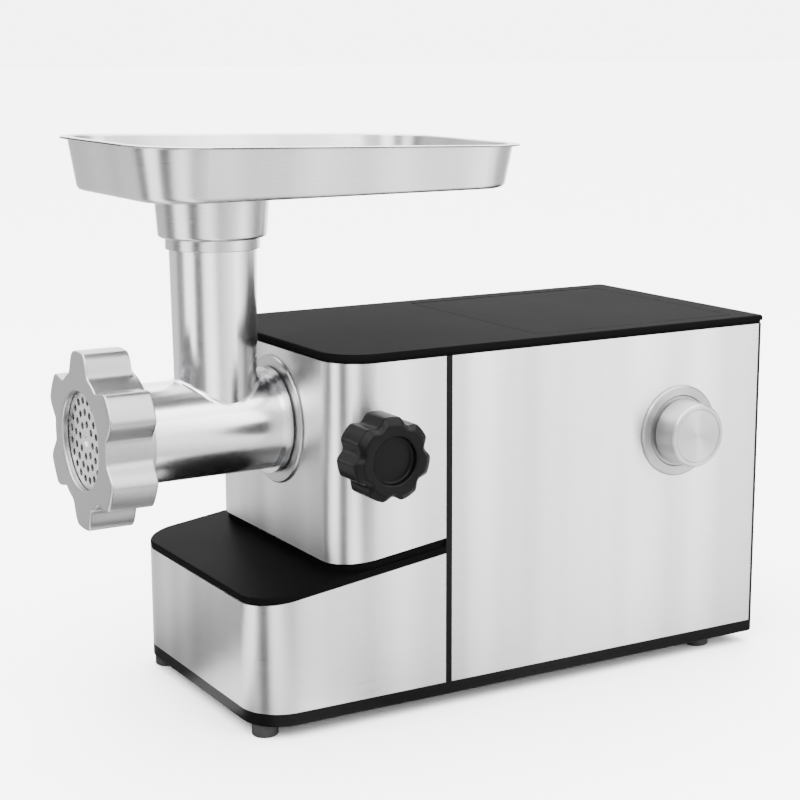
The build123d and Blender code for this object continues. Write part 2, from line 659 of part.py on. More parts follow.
def top_lid():
    """Dark lid with a grooved edge, a lip into the steel and the stepped opening of the compartment."""
    lid = prism(plan(0, BODY_LENGTH, over=LID_EDGE_OVER), LID_GROOVE_TOP, BODY_TOP)
    lid = fillet(lid.faces().sort_by(Axis.Z)[-1].edges(), LID_ROUND)
    lid += prism(plan(0, BODY_LENGTH, LID_GROOVE_IN), LID_BOTTOM, LID_GROOVE_TOP)
    lip_z = LID_BOTTOM - LIP_HEIGHT / 2
    lip = ring_prism(0, STEEL_END, LIP_IN, LIP_WALL, lip_z, LID_BOTTOM)
    lid += lip - across(STRIP_X - LIP_GAP, MID_X + LIP_GAP, lip_z, LID_BOTTOM)
    seat = COVER_BOTTOM - COVER_UNDER
    lid -= block(COVER_X0, COVER_X1, COVER_Y0, COVER_Y1, seat, BODY_TOP + 1)
    x0, x1 = COVER_X0 + LEDGE, COVER_X1 - LEDGE
    lid -= block(x0, x1, COVER_Y0 + LEDGE, COVER_Y1 - LEDGE, LID_BOTTOM - 1, BODY_TOP)
    pin = PIN_RADIUS + RUNNING
    return lid - rod_x(pin, COVER_X0 - LEDGE, COVER_X1 + LEDGE, HINGE_Y, HINGE_Z)


def storage_bin():
    """Open bin hung under the lid for the spare plates."""
    x0, x1 = COVER_X0 + LEDGE, COVER_X1 - LEDGE
    y0, y1 = COVER_Y0 + LEDGE, COVER_Y1 - LEDGE
    top = LID_BOTTOM
    low = top - BIN_DEPTH
    out = BIN_FLANGE
    flange = block(x0 - out, x1 + out, y0 - out, y1 + out, top - BIN_WALL, top)
    walls = block(x0 - BIN_WALL, x1 + BIN_WALL, y0 - BIN_WALL, y1 + BIN_WALL, low, top)
    return flange + walls - block(x0, x1, y0, y1, low + BIN_WALL, top + 1)


def storage_cover():
    """Flush cover that turns up about its rounded back edge."""
    x0, x1 = COVER_X0 + COVER_SEAM, COVER_X1 - COVER_SEAM
    cover = block(x0, x1, COVER_Y0 + COVER_SEAM, HINGE_Y, COVER_BOTTOM, BODY_TOP)
    cover += rod_x(COVER_THICKNESS / 2, x0, x1, HINGE_Y, HINGE_Z)
    for x in (x0, x1 - PIN_IN_COVER):
        cover -= rod_x(PIN_RADIUS, x, x + PIN_IN_COVER, HINGE_Y, HINGE_Z)
    return cover


def cover_pins():
    """Two short hinge pins, fixed in the cover and turning in the lid."""
    inside = COVER_SEAM + PIN_IN_COVER
    left = rod_x(PIN_RADIUS, COVER_X0 - PIN_IN_LID, COVER_X0 + inside, HINGE_Y, HINGE_Z)
    right = rod_x(PIN_RADIUS, COVER_X1 - inside, COVER_X1 + PIN_IN_LID, HINGE_Y, HINGE_Z)
    return [left, right]


# ---------------------------------------------------------------- head socket and lock
def head_bezel():
    """Polished round plate where the head goes into the upper block."""
    ring = rod_x(BEZEL_RADIUS, -BEZEL_WIDTH, 0)
    ring -= rod_x(BARREL_RADIUS + THREAD_GAP, -BEZEL_WIDTH - 1, 1)
    front = ring.faces().sort_by(Axis.X)[0]
    return fillet(front.outer_wire().edges(), BEZEL_ROUND)


def head_socket():
    """Cast socket that holds the head's tail, with a boss for the lock screw and a flange on the frame."""
    flange_x = STRIP_X - SOCKET_FLANGE_WIDTH
    body = rod_x(SOCKET_RADIUS, SOCKET_FRONT, STRIP_X)
    body += rod_x(SOCKET_FLANGE, flange_x, STRIP_X)
    body += rod_y(LOCK_BOSS, LOCK_BOSS_FRONT, AXIS_Y, LOCK_X, LOCK_Z)
    body += rod_x(HEAD_RING_RADIUS - THREAD_GAP, 0, 2 * SOCKET_FRONT)
    body -= rod_x(SOCKET_BORE, -1, STRIP_X + 1)
    body -= rod_x(BARREL_RADIUS, -1, SOCKET_FRONT)
    body -= rod_y(LOCK_STEM + RUNNING, -1, AXIS_Y, LOCK_X, LOCK_Z)
    body -= rod_y(LOCK_STEM + LOCK_BUSH_WALL, 0, LOCK_BOSS_FRONT + LOCK_BUSH_LENGTH, LOCK_X, LOCK_Z)
    for y, z in SCREW_PLACES:
        body -= rod_x(SOCKET_SCREW, flange_x - 1, STRIP_X + 1, y, z)
        body -= rod_x(SOCKET_SCREW_HEAD + LIP_GAP, flange_x - 2 * PAN_HEAD, flange_x, y, z)
    return body


def socket_screws():
    """Three screws from the socket's flange through the frame."""
    flange_x = STRIP_X - SOCKET_FLANGE_WIDTH
    return [screw_x(SOCKET_SCREW, SOCKET_SCREW_HEAD, flange_x, MID_X, y, z) for y, z in SCREW_PLACES]


def lock_bush():
    """Threaded bush in the boss, drawn as a plain bore."""
    back = LOCK_BOSS_FRONT + LOCK_BUSH_LENGTH
    bush = rod_y(LOCK_STEM + LOCK_BUSH_WALL, LOCK_BOSS_FRONT, back, LOCK_X, LOCK_Z)
    return bush - rod_y(LOCK_STEM + RUNNING, LOCK_BOSS_FRONT - 1, back + 1, LOCK_X, LOCK_Z)


def lock_pad():
    """Clamp pad at the stem's tip; it presses on the tail and does not turn."""
    return rod_y(LOCK_STEM, LOCK_TIP - LOCK_PAD_LENGTH, LOCK_TIP, LOCK_X, LOCK_Z)


def lock_stem():
    """Stem of the lock knob, from the knob's hub to the pad."""
    back = LOCK_TIP - LOCK_PAD_LENGTH - LOCK_PAD_GAP
    return rod_y(LOCK_STEM, LOCK_BACK - LOCK_STEM_IN_KNOB, back, LOCK_X, LOCK_Z)


def lock_knob():
    """Seven-lobed hand knob with a round recess in its face and a hub behind."""
    outline = Circle(LOCK_RADIUS)
    for place in ring_of(LOCK_LOBES, LOCK_RADIUS + LOCK_NOTCH_OUT, 90 + 180 / LOCK_LOBES):
        outline -= place * Circle(LOCK_NOTCH)
    outline = fillet(outline.vertices(), 2 * LOCK_BEVEL)
    knob = across_y(outline, LOCK_FRONT, LOCK_BACK, LOCK_X, LOCK_Z)
    knob = chamfer(knob.edges().filter_by(Plane.XZ), LOCK_BEVEL)
    knob += rod_y(LOCK_HUB, LOCK_BACK, LOCK_HUB_BACK, LOCK_X, LOCK_Z)
    knob -= rod_y(LOCK_RECESS, LOCK_FRONT - 1, LOCK_FRONT + LOCK_RECESS_DEPTH, LOCK_X, LOCK_Z)
    return knob - rod_y(LOCK_STEM, LOCK_BACK - LOCK_STEM_IN_KNOB, 0, LOCK_X, LOCK_Z)


# ---------------------------------------------------------------- control knob
def knob_bezel():
    """Ring plate round the control knob."""
    ring = rod_y(KNOB_BEZEL, -KNOB_BEZEL_WIDTH, 0, KNOB_X, KNOB_Z)
    ring -= rod_y(KNOB_STEM + KNOB_STEM_GAP, -KNOB_BEZEL_WIDTH - 1, 1, KNOB_X, KNOB_Z)
    return chamfer(ring.faces().sort_by(Axis.Y)[0].outer_wire().edges(), KNOB_BEZEL_BEVEL)


def control_knob():
    """Slightly tapered round knob with a stem into the switch."""
    cone = Cone(KNOB_RADIUS, KNOB_FRONT_RADIUS, KNOB_BACK - KNOB_FRONT, align=FOOT_ALIGN)
    knob = Pos(KNOB_X, KNOB_BACK, KNOB_Z) * Rot(90, 0, 0) * cone
    knob = fillet(knob.faces().sort_by(Axis.Y)[0].edges(), KNOB_ROUND)
    return knob - rod_y(KNOB_STEM, KNOB_BACK - KNOB_STEM_IN, 0, KNOB_X, KNOB_Z)


def switch_spindle():
    """Spindle between the knob and the switch."""
    return rod_y(KNOB_STEM, KNOB_BACK - KNOB_STEM_IN, SKIN + SWITCH_DEPTH / 2, KNOB_X, KNOB_Z)


def rotary_switch():
    """Reverse, off and on switch behind the front steel."""
    half = SWITCH_SIZE / 2
    back = SKIN + SWITCH_DEPTH
    body = block(KNOB_X - half, KNOB_X + half, SKIN, back, KNOB_Z - half, KNOB_Z + half)
    for offset in SWITCH_TABS:
        x0 = KNOB_X + offset - TAB_WIDTH / 2
        body += block(x0, x0 + TAB_WIDTH, back, back + TAB_LENGTH, KNOB_Z, KNOB_Z + TAB_THICKNESS)
    return body - rod_y(KNOB_STEM + RUNNING, 0, SKIN + SWITCH_DEPTH / 2 + 1, KNOB_X, KNOB_Z)


# ---------------------------------------------------------------- grinding head
def grinder_head():
    """Cast barrel with its throat, threaded collar and tail, bored through for food and feed screw."""
    grow = (THROAT_TOP_RADIUS - THROAT_FOOT_RADIUS) / THROAT_TAPER
    root_radius = THROAT_TOP_RADIUS - grow * THROAT_RISE
    barrel = rod_x(BARREL_RADIUS, COLLAR_BACK, HEAD_BACK)
    throat = cone_z(root_radius, THROAT_TOP_RADIUS, AXIS_Z, THROAT_TOP, THROAT_X, AXIS_Y)
    head = barrel + throat
    saddle = [e for e in head.edges() if e.geom_type not in (GeomType.LINE, GeomType.CIRCLE)]
    head = fillet(saddle, SADDLE_BLEND)
    head += rod_x(COLLAR_RADIUS, BARREL_FRONT, COLLAR_BACK)
    head += rod_x(HEAD_RING_RADIUS, HEAD_BACK - HEAD_RING_WIDTH, HEAD_BACK)
    head += rod_x(TAIL_RADIUS, HEAD_BACK, TAIL_END)
    head -= rod_x(BARREL_BORE, BARREL_FRONT - 1, HEAD_WALL_FRONT)
    head -= rod_z(THROAT_BORE - THROAT_STEP, AXIS_Z, THROAT_TOP, THROAT_X, AXIS_Y)
    head -= rod_z(THROAT_BORE, THROAT_STEP_Z, THROAT_TOP + 1, THROAT_X, AXIS_Y)
    return head - rod_x(SHANK_RADIUS + RUNNING, HEAD_WALL_FRONT - 1, TAIL_END + 1)


def feed_screw():
    """Feed screw: core with one helical flight, round shank, square drive end and front pin."""
    flight_radius = BARREL_BORE - SCREW_GAP
    inner = SCREW_CORE - 1
    height = SCREW_BACK - SCREW_FRONT - FLIGHT_THICKNESS - 2
    middle = (inner + flight_radius) / 2
    path = Helix(pitch=SCREW_PITCH, height=height, radius=middle)
    profile = Plane.XZ * Pos(middle, 0) * Rectangle(flight_radius - inner, FLIGHT_THICKNESS)
    flight = sweep(profile, path=path, is_frenet=True)
    start = SCREW_FRONT + FLIGHT_THICKNESS / 2 + 1
    plane = Plane(origin=(start, AXIS_Y, AXIS_Z), x_dir=(0, 0, 1), z_dir=(1, 0, 0))
    screw = rod_x(SCREW_CORE, SCREW_FRONT, SCREW_BACK) + plane.location * flight
    screw += rod_x(SHANK_RADIUS, SCREW_BACK, TAIL_END)
    screw += across_x(Rectangle(SHANK_SQUARE, SHANK_SQUARE), TAIL_END, SHANK_END)
    screw += across_x(Rectangle(KNIFE_SQUARE, KNIFE_SQUARE), KNIFE_FRONT, SCREW_FRONT)
    return screw + rod_x(TIP_PIN, PLATE_FRONT + 1, KNIFE_FRONT)


def thrust_washer():
    """Washer behind the feed screw, turning with it."""
    washer = rod_x(WASHER_RADIUS, SCREW_BACK, HEAD_WALL_FRONT - WASHER_GAP)
    return washer - rod_x(SHANK_RADIUS, SCREW_BACK - 1, HEAD_WALL_FRONT)


def cross_knife():
    """Four-bladed knife on the screw's square, against the cutting plate."""
    blades = Circle(KNIFE_HUB) + Rectangle(2 * BARREL_BORE, KNIFE_BLADE)
    blades += Rectangle(KNIFE_BLADE, 2 * BARREL_BORE)
    blades &= Circle(BARREL_BORE - 1)
    return across_x(blades - Rectangle(KNIFE_SQUARE, KNIFE_SQUARE), KNIFE_FRONT, KNIFE_BACK)


def cutting_plate():
    """Drilled plate in front of the knife, with a hole for the screw's pin and a notch in its rim."""
    outline = Circle(PLATE_RADIUS) - Circle(TIP_PIN + RUNNING)
    for radius, count in PLATE_RINGS:
        for place in ring_of(count, radius, 180 / PLATE_RINGS[-1][1]):
            outline -= place * Circle(PLATE_HOLE)
    outline -= Pos(0, -PLATE_RADIUS) * Rectangle(PLATE_NOTCH, PLATE_NOTCH)
    return across_x(outline, PLATE_FRONT, PLATE_BACK)


def ring_nut():
    """Six-lobed nut that holds the plate on the barrel; its thread is drawn as a plain bore."""
    outline = Circle(NUT_RADIUS)
    lobe = Pos(NUT_LOBE_RADIUS / 2, 0) * Rectangle(NUT_LOBE_RADIUS, NUT_LOBE_WIDTH)
    for place in ring_of(NUT_LOBES, 0, 180 / NUT_LOBES):
        outline += place * lobe
    outline = fillet(outline.vertices(), NUT_FILLET)
    nut = across_x(outline, NUT_FRONT, NUT_BACK - NUT_SKIRT)
    nut = chamfer(nut.edges().filter_by(Plane.YZ), NUT_BEVEL)
    nut += rod_x(NUT_RADIUS, NUT_BACK - 2 * NUT_SKIRT, NUT_BACK)
    nut -= rod_x(NUT_MOUTH, NUT_FRONT - 1, NUT_BACK)
    return nut - rod_x(COLLAR_RADIUS + THREAD_GAP, NUT_FRONT + NUT_LIP, NUT_BACK + 1)


# ---------------------------------------------------------------- feed tray
def tray_outline(inset):
    """The tray's plan with rounded corners, drawn in from the lip's edge."""
    width = TRAY_X1 - TRAY_X0 - 2 * inset
    depth = TRAY_Y1 - TRAY_Y0 - 2 * inset
    centre = Pos((TRAY_X0 + TRAY_X1) / 2, (TRAY_Y0 + TRAY_Y1) / 2)
    return centre * RectangleRounded(width, depth, TRAY_CORNER - inset)


def tray_pan(inset, floor, blend):
    """The pan as a drafted solid with a rounded bottom edge, running up past the rim."""
    draft = degrees(atan(TRAY_DRAFT / TRAY_HEIGHT))
    low = tray_outline(TRAY_LIP + TRAY_DRAFT + inset)
    pan = Pos(0, 0, floor) * extrude(low, TRAY_HEIGHT + TRAY_BOTTOM_BLEND, taper=-draft)
    return fillet(pan.faces().sort_by(Axis.Z)[0].edges(), blend)


def food_tray():
    """Sheet-steel tray with a rolled-out lip, and the neck that drops over the throat."""
    pan = tray_pan(0, TRAY_FLOOR, TRAY_BOTTOM_BLEND)
    lip = prism(tray_outline(0), TRAY_FLOOR, TRAY_RIM + 1)
    lip &= slab(TRAY_X0, TRAY_RIM, TRAY_RIM_SLOPE, TRAY_SHEET)
    low, high = THROAT_TOP_RADIUS + NECK_LOW_OVER, THROAT_TOP_RADIUS + NECK_TOP_OVER
    neck = cone_z(low, high, NECK_LOW_Z, TRAY_FLOOR + TRAY_SHEET, THROAT_X, AXIS_Y)
    neck += rod_z(THROAT_TOP_RADIUS + NECK_RIM_OVER, NECK_BOTTOM, NECK_LOW_Z, THROAT_X, AXIS_Y)
    tray = pan + lip + neck
    tray -= tray_pan(TRAY_SHEET, TRAY_FLOOR + TRAY_SHEET, TRAY_BOTTOM_BLEND - TRAY_SHEET)
    tray -= space_above(TRAY_X0, TRAY_RIM, TRAY_RIM_SLOPE)
    over = THROAT_TOP_RADIUS + NECK_GAP
    tray -= rod_z(over, NECK_BOTTOM - 1, THROAT_TOP + NECK_GAP, THROAT_X, AXIS_Y)
    return tray - rod_z(THROAT_BORE + THROAT_STEP, NECK_BOTTOM, TRAY_RIM, THROAT_X, AXIS_Y)


# ---------------------------------------------------------------- gear case
def case_places():
    """The four posts between the gear plates, as (y, z), all above the motor's bracket."""
    half = GEAR_PLATE_HALF - POST_INSET
    heights = (MOTOR_Z + BRACKET_HALF + POST_INSET, CASE_Z1 - POST_INSET)
    return [(AXIS_Y + side * half, z) for side in (-1, 1) for z in heights]


def gear_plate(x0):
    """A gear plate with holes for the bushes and the case screws."""
    y0, y1 = AXIS_Y - GEAR_PLATE_HALF, AXIS_Y + GEAR_PLATE_HALF
    plate = block(x0, x0 + GEAR_PLATE, y0, y1, CASE_Z0, CASE_Z1)
    plate = fillet(plate.edges().filter_by(Axis.X), GEAR_PLATE_CORNER)
    for z, radius in SHAFTS:
        plate -= rod_x(radius + BUSH_WALL, x0 - 1, x0 + GEAR_PLATE + 1, AXIS_Y, z)
    for y, z in case_places():
        plate -= rod_x(CASE_SCREW, x0 - 1, x0 + GEAR_PLATE + 1, y, z)
    return plate


def gear_plate_front():
    """Plate on the centre frame."""
    return gear_plate(PLATE_X0)


def gear_plate_rear():
    """Plate between the gears and the motor, with a hole for the motor's pinion."""
    hole = rod_x(PINION_HOLE, REAR_PLATE_X - 1, BRACKET_X + 1, AXIS_Y, MOTOR_Z)
    return gear_plate(REAR_PLATE_X) - hole


def gear_posts():
    """Four hollow posts that space the gear plates."""
    posts = []
    for y, z in case_places():
        post = rod_x(POST_RADIUS, GEAR_X0, REAR_PLATE_X, y, z)
        posts.append(post - rod_x(CASE_SCREW, GEAR_X0, REAR_PLATE_X, y, z))
    return posts


def case_screws():
    """Four long screws through plate, post and plate."""
    tip = PLATE_X0 + SCREW_TIP_GAP
    return [screw_x(CASE_SCREW, CASE_SCREW_HEAD, BRACKET_X, tip, y, z) for y, z in case_places()]


def shaft_bushes():
    """Sintered bushes of the three gear shafts, two each."""
    bushes = []
    for x0 in (PLATE_X0, REAR_PLATE_X):
        for z, radius in SHAFTS:
            ring = rod_x(radius + BUSH_WALL, x0, x0 + GEAR_PLATE, AXIS_Y, z)
            bushes.append(ring - rod_x(radius + RUNNING, x0 - 1, x0 + GEAR_PLATE + 1, AXIS_Y, z))
    return bushes


def output_gear():
    """Large gear on the output shaft."""
    return gear(2, False, *OUTPUT_GEAR_X, OUTPUT_Z, OUTPUT_SHAFT)


def output_shaft():
    """Output shaft with the square drive socket that takes the feed screw's end."""
    shaft = rod_x(OUTPUT_SHAFT, STRIP_X, BRACKET_X - SHAFT_END_GAP)
    shaft += rod_x(COUPLING_RADIUS, COUPLING_FRONT, STRIP_X + 1)
    side = SHANK_SQUARE + 2 * COUPLING_GAP
    socket_end = SHANK_END + COUPLING_END_GAP
    return shaft - across_x(Rectangle(side, side), COUPLING_FRONT - 1, socket_end)


def pinion_shaft(stage, gear_x, z):
    """A shaft between the gear plates with a pinion cut on it, opposite the gear that it drives."""
    x0, x1 = gear_x[0] - PINION_OVER, gear_x[1] + PINION_OVER
    shaft = rod_x(IDLER_SHAFT, PLATE_X0 + SHAFT_END_GAP, BRACKET_X - SHAFT_END_GAP, AXIS_Y, z)
    return shaft + gear(stage, True, x0, x1, z, IDLER_SHAFT - 1)


def middle_gear():
    """Gear of the middle shaft, driven by the first shaft's pinion."""
    return gear(1, False, *MIDDLE_GEAR_X, MIDDLE_Z, IDLER_SHAFT)


def middle_shaft():
    """Middle shaft, with the pinion that drives the output gear."""
    return pinion_shaft(2, OUTPUT_GEAR_X, MIDDLE_Z)


def first_gear():
    """Gear of the first shaft, driven by the motor."""
    return gear(0, False, *FIRST_GEAR_X, FIRST_Z, IDLER_SHAFT)


def first_shaft():
    """First shaft, with the pinion that drives the middle gear."""
    return pinion_shaft(1, MIDDLE_GEAR_X, FIRST_Z)


# ---------------------------------------------------------------- motor
def tie_places():
    """The four tie screws' places, as (y, z)."""
    corner = STATOR_HALF - TIE_INSET
    return [(AXIS_Y + y * corner, MOTOR_Z + z * corner) for y in (-1, 1) for z in (-1, 1)]


def rotor_shaft():
    """Motor shaft to the rear bearing, with its small pinion at the gear end."""
    x0, x1 = FIRST_GEAR_X[0] - PINION_OVER, FIRST_GEAR_X[1] + PINION_OVER
    end = REAR_BRACKET_X + BRACKET - SHAFT_END_GAP
    shaft = rod_x(MOTOR_SHAFT, x0, end, AXIS_Y, MOTOR_Z)
    return shaft + gear(0, True, x0, x1, MOTOR_Z, MOTOR_SHAFT - 1)


def rotor_core():
    """Laminated core with winding slots."""
    outline = Circle(ROTOR_RADIUS) - Circle(MOTOR_SHAFT)
    for place in ring_of(ROTOR_SLOTS, ROTOR_RADIUS - ROTOR_SLOT_IN):
        outline -= place * Rectangle(*ROTOR_SLOT)
    return across_x(outline, *STATOR_X, AXIS_Y, MOTOR_Z)


def rotor_windings():
    """Copper end turns on both sides of the core."""
    coils = []
    spans = ((COIL_X[0] + WINDING_SHORT, STATOR_X[0]), (STATOR_X[1], COIL_X[1] - WINDING_SHORT))
    for x0, x1 in spans:
        ring = rod_x(ROTOR_RADIUS - ROTOR_SLOT_IN, x0, x1, AXIS_Y, MOTOR_Z)
        coils.append(ring - rod_x(MOTOR_SHAFT, x0 - 1, x1 + 1, AXIS_Y, MOTOR_Z))
    return coils


def commutator():
    """Copper-barred commutator on the rotor shaft."""
    outline = Circle(COMMUTATOR_RADIUS) - Circle(MOTOR_SHAFT)
    for place in ring_of(COMMUTATOR_BARS, COMMUTATOR_RADIUS):
        outline -= place * Rectangle(*COMMUTATOR_SLOT)
    return across_x(outline, *COMMUTATOR_X, AXIS_Y, MOTOR_Z)


def cooling_fan():
    """Radial fan: disc, hub and straight blades."""
    fan = rod_x(FAN_RADIUS, FAN_X[0], FAN_X[0] + FAN_DISC, AXIS_Y, MOTOR_Z)
    fan += rod_x(MOTOR_SHAFT + FAN_HUB_WALL, *FAN_X, AXIS_Y, MOTOR_Z)
    blades = Sketch()
    for place in ring_of(FAN_BLADES, FAN_BLADE_MIDDLE):
        blades += place * Rectangle(*FAN_BLADE)
    fan += across_x(blades, FAN_X[0] + FAN_DISC / 2, FAN_X[1], AXIS_Y, MOTOR_Z)
    return fan - rod_x(MOTOR_SHAFT, FAN_X[0] - 1, FAN_X[1] + 1, AXIS_Y, MOTOR_Z)


def coil_sectors():
    """The two field coils' section: ring sectors centred above and below the rotor."""
    reach = 2 * COIL_RADII[1]
    side = reach * tan(radians(COIL_HALF_ANGLE))
    wedges = make_face(Polyline((0, 0), (-side, reach), (side, reach), close=True))
    wedges += make_face(Polyline((0, 0), (side, -reach), (-side, -reach), close=True))
    return (Circle(COIL_RADII[1]) - Circle(COIL_RADII[0])) & wedges


def motor_stator():
    """Laminated stator with the bore, two coil slots and holes for the tie screws."""
    outline = RectangleRounded(2 * STATOR_HALF, 2 * STATOR_HALF, STATOR_CORNER)
    outline -= Circle(ROTOR_RADIUS + AIR_GAP)
    stator = across_x(outline - coil_sectors(), *STATOR_X, AXIS_Y, MOTOR_Z)
    for y, z in tie_places():
        stator -= rod_x(TIE_SCREW, STATOR_X[0] - 1, STATOR_X[1] + 1, y, z)
    return stator


def field_coils():
    """Two field coils in the stator's slots."""
    return across_x(coil_sectors(), *COIL_X, AXIS_Y, MOTOR_Z)


def motor_bracket(x0):
    """End bracket with a bearing seat and tie-screw holes."""
    half = BRACKET_HALF
    plate = block(x0, x0 + BRACKET, AXIS_Y - half, AXIS_Y + half, MOTOR_Z - half, MOTOR_Z + half)
    for y, z in tie_places():
        plate -= rod_x(TIE_SCREW, x0 - 1, x0 + BRACKET + 1, y, z)
    return plate - rod_x(BEARING_RADIUS, x0 - 1, x0 + BRACKET + 1, AXIS_Y, MOTOR_Z)


def motor_bracket_front():
    """Bracket against the rear gear plate."""
    return motor_bracket(BRACKET_X)


def motor_bracket_rear():
    """Bracket behind the brushes, standing on the pan."""
    x0, half = REAR_BRACKET_X, BRACKET_LEG_HALF
    leg_top = MOTOR_Z - BRACKET_HALF + BRACKET
    leg = block(x0, x0 + BRACKET, AXIS_Y - half, AXIS_Y + half, FLOOR_TOP, leg_top)
    return motor_bracket(x0) + leg


def motor_bearings():
    """One plain bearing in each bracket."""
    rings = []
    for x0 in (BRACKET_X, REAR_BRACKET_X):
        ring = rod_x(BEARING_RADIUS, x0, x0 + BRACKET, AXIS_Y, MOTOR_Z)
        rings.append(ring - rod_x(MOTOR_SHAFT + RUNNING, x0 - 1, x0 + BRACKET + 1, AXIS_Y, MOTOR_Z))
    return rings


def tie_screws():
    """Four long screws that clamp bracket, stator and bracket."""
    head_x, tip_x = REAR_BRACKET_X + BRACKET, BRACKET_X + SCREW_TIP_GAP
    return [screw_x(TIE_SCREW, TIE_SCREW_HEAD, head_x, tip_x, y, z) for y, z in tie_places()]


def brush_holders():
    """Insulated brush boxes, held on arms from the rear bracket."""
    middle = (COMMUTATOR_X[0] + COMMUTATOR_X[1]) / 2
    half = BRUSH_SIZE / 2
    wall = half + HOLDER_WALL
    near = COMMUTATOR_RADIUS + HOLDER_GAP
    holders = []
    for way in (1, -1):
        y0, y1 = sorted((AXIS_Y + way * near, AXIS_Y + way * (near + HOLDER_LENGTH)))
        holder = block(middle - wall, REAR_BRACKET_X, y0, y1, MOTOR_Z - wall, MOTOR_Z + wall)
        channel = block(middle - half, middle + half, y0 - 1, y1 + 1, MOTOR_Z - half, MOTOR_Z + half)
        holders.append(holder - channel)
    return holders


def carbon_brushes():
    """Two carbon blocks just off the commutator."""
    middle = (COMMUTATOR_X[0] + COMMUTATOR_X[1]) / 2
    half = BRUSH_SIZE / 2
    near = COMMUTATOR_RADIUS + BRUSH_GAP
    brushes = []
    for way in (1, -1):
        y0, y1 = sorted((AXIS_Y + way * near, AXIS_Y + way * (near + BRUSH_LENGTH)))
        brushes.append(block(middle - half, middle + half, y0, y1, MOTOR_Z - half, MOTOR_Z + half))
    return brushes


# ---------------------------------------------------------------- electrical pieces
def terminal_block():
    """Screw terminals on the pan's floor, near the cord's inlet."""
    length, width, height = TERMINAL_SIZE
    x0 = INLET_X - 2 * length / 3
    y0 = BODY_DEPTH - TERMINAL_FROM_BACK - width
    top = FLOOR_TOP + height
    body = block(x0, x0 + length, y0, y0 + width, FLOOR_TOP, top)
    for k in range(TERMINALS):
        x = x0 + length / 2 + (k - (TERMINALS - 1) / 2) * TERMINAL_PITCH
        for y in (y0 + width / 3, y0 + 2 * width / 3):
            body -= rod_z(TERMINAL_HOLE, FLOOR_TOP + height / 2, top + 1, x, y)
    return body


def suppressor():
    """Interference capacitor on the pan's floor."""
    length, width, height = SUPPRESSOR_SIZE
    x0 = INLET_X - 3 * length / 4
    y0 = BODY_DEPTH - SUPPRESSOR_FROM_BACK - width
    return block(x0, x0 + length, y0, y0 + width, FLOOR_TOP, FLOOR_TOP + height)


def cord_grommet():
    """Grommet of the cord's inlet in the back steel."""
    back = BODY_DEPTH + INLET_FLANGE_WIDTH
    steel_y = BODY_DEPTH - SKIN
    body = rod_y(INLET_BODY, steel_y - INLET_INSIDE, BODY_DEPTH, INLET_X, INLET_Z)
    body += rod_y(INLET_FLANGE, BODY_DEPTH, back, INLET_X, INLET_Z)
    body += rod_y(INLET_CLIP, steel_y - INLET_CLIP_WIDTH, steel_y, INLET_X, INLET_Z)
    return body - rod_y(INLET_BORE, steel_y - INLET_INSIDE - 1, back + 1, INLET_X, INLET_Z)


# ---------------------------------------------------------------- assembly and export
def solids_of(shape):
    """A list of separate solids from a shape or a list of shapes."""
    shapes = shape if isinstance(shape, list) else [shape]
    return [solid for item in shapes for solid in item.solids()]


def build():
    """Every node by name, each as a list of solids, with the origin under the bounding box's centre."""
    makers = (
        base_pan, rubber_feet, foot_screws, lower_skin, platform_deck, upper_skin, centre_frame, main_skin,
        end_cover, vent_grille, top_lid, storage_bin, storage_cover, cover_pins, head_bezel, head_socket,
        socket_screws, lock_bush, lock_pad, lock_stem, lock_knob, knob_bezel, control_knob, switch_spindle,
        rotary_switch,
        grinder_head, feed_screw, thrust_washer, cross_knife, cutting_plate, ring_nut, food_tray,
        gear_plate_front, gear_plate_rear, gear_posts, case_screws, shaft_bushes, output_gear, output_shaft,
        middle_gear, middle_shaft, first_gear, first_shaft, rotor_shaft, rotor_core,
        rotor_windings, commutator, cooling_fan, motor_stator, field_coils, motor_bracket_front,
        motor_bracket_rear, motor_bearings, tie_screws, brush_holders, carbon_brushes, terminal_block,
        suppressor, cord_grommet,
    )  # fmt: skip
    return {maker.__name__: solids_of(maker()) for maker in makers}


def envelope(nodes):
    """The bounding box of every node."""
    return Compound([solid for solids in nodes.values() for solid in solids]).bounding_box()


nodes = build()
box = envelope(nodes)
ORIGIN = (box.center().X, box.center().Y, 0.0)
os.makedirs("parts", exist_ok=True)
for name, solids in nodes.items():
    moved = [Pos(-ORIGIN[0], -ORIGIN[1], 0) * solid for solid in solids]
    export_step(moved[0] if len(moved) == 1 else Compound(moved), f"parts/{name}.step")
print("origin", ORIGIN, "size", box.size, "nodes", len(nodes))
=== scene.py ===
"""Looks of the electric meat grinder: its finishes, its drawn and cast surfaces, and a plain studio.

Lengths are metres. Shapes are worked out in the maker's frame (x = 0 at the upper block's left face, y = 0 at
the long front face, z = 0 on the table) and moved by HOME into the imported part's frame.
"""

import math

import bmesh
import bpy
import numpy as np
from mathutils import Matrix, Vector


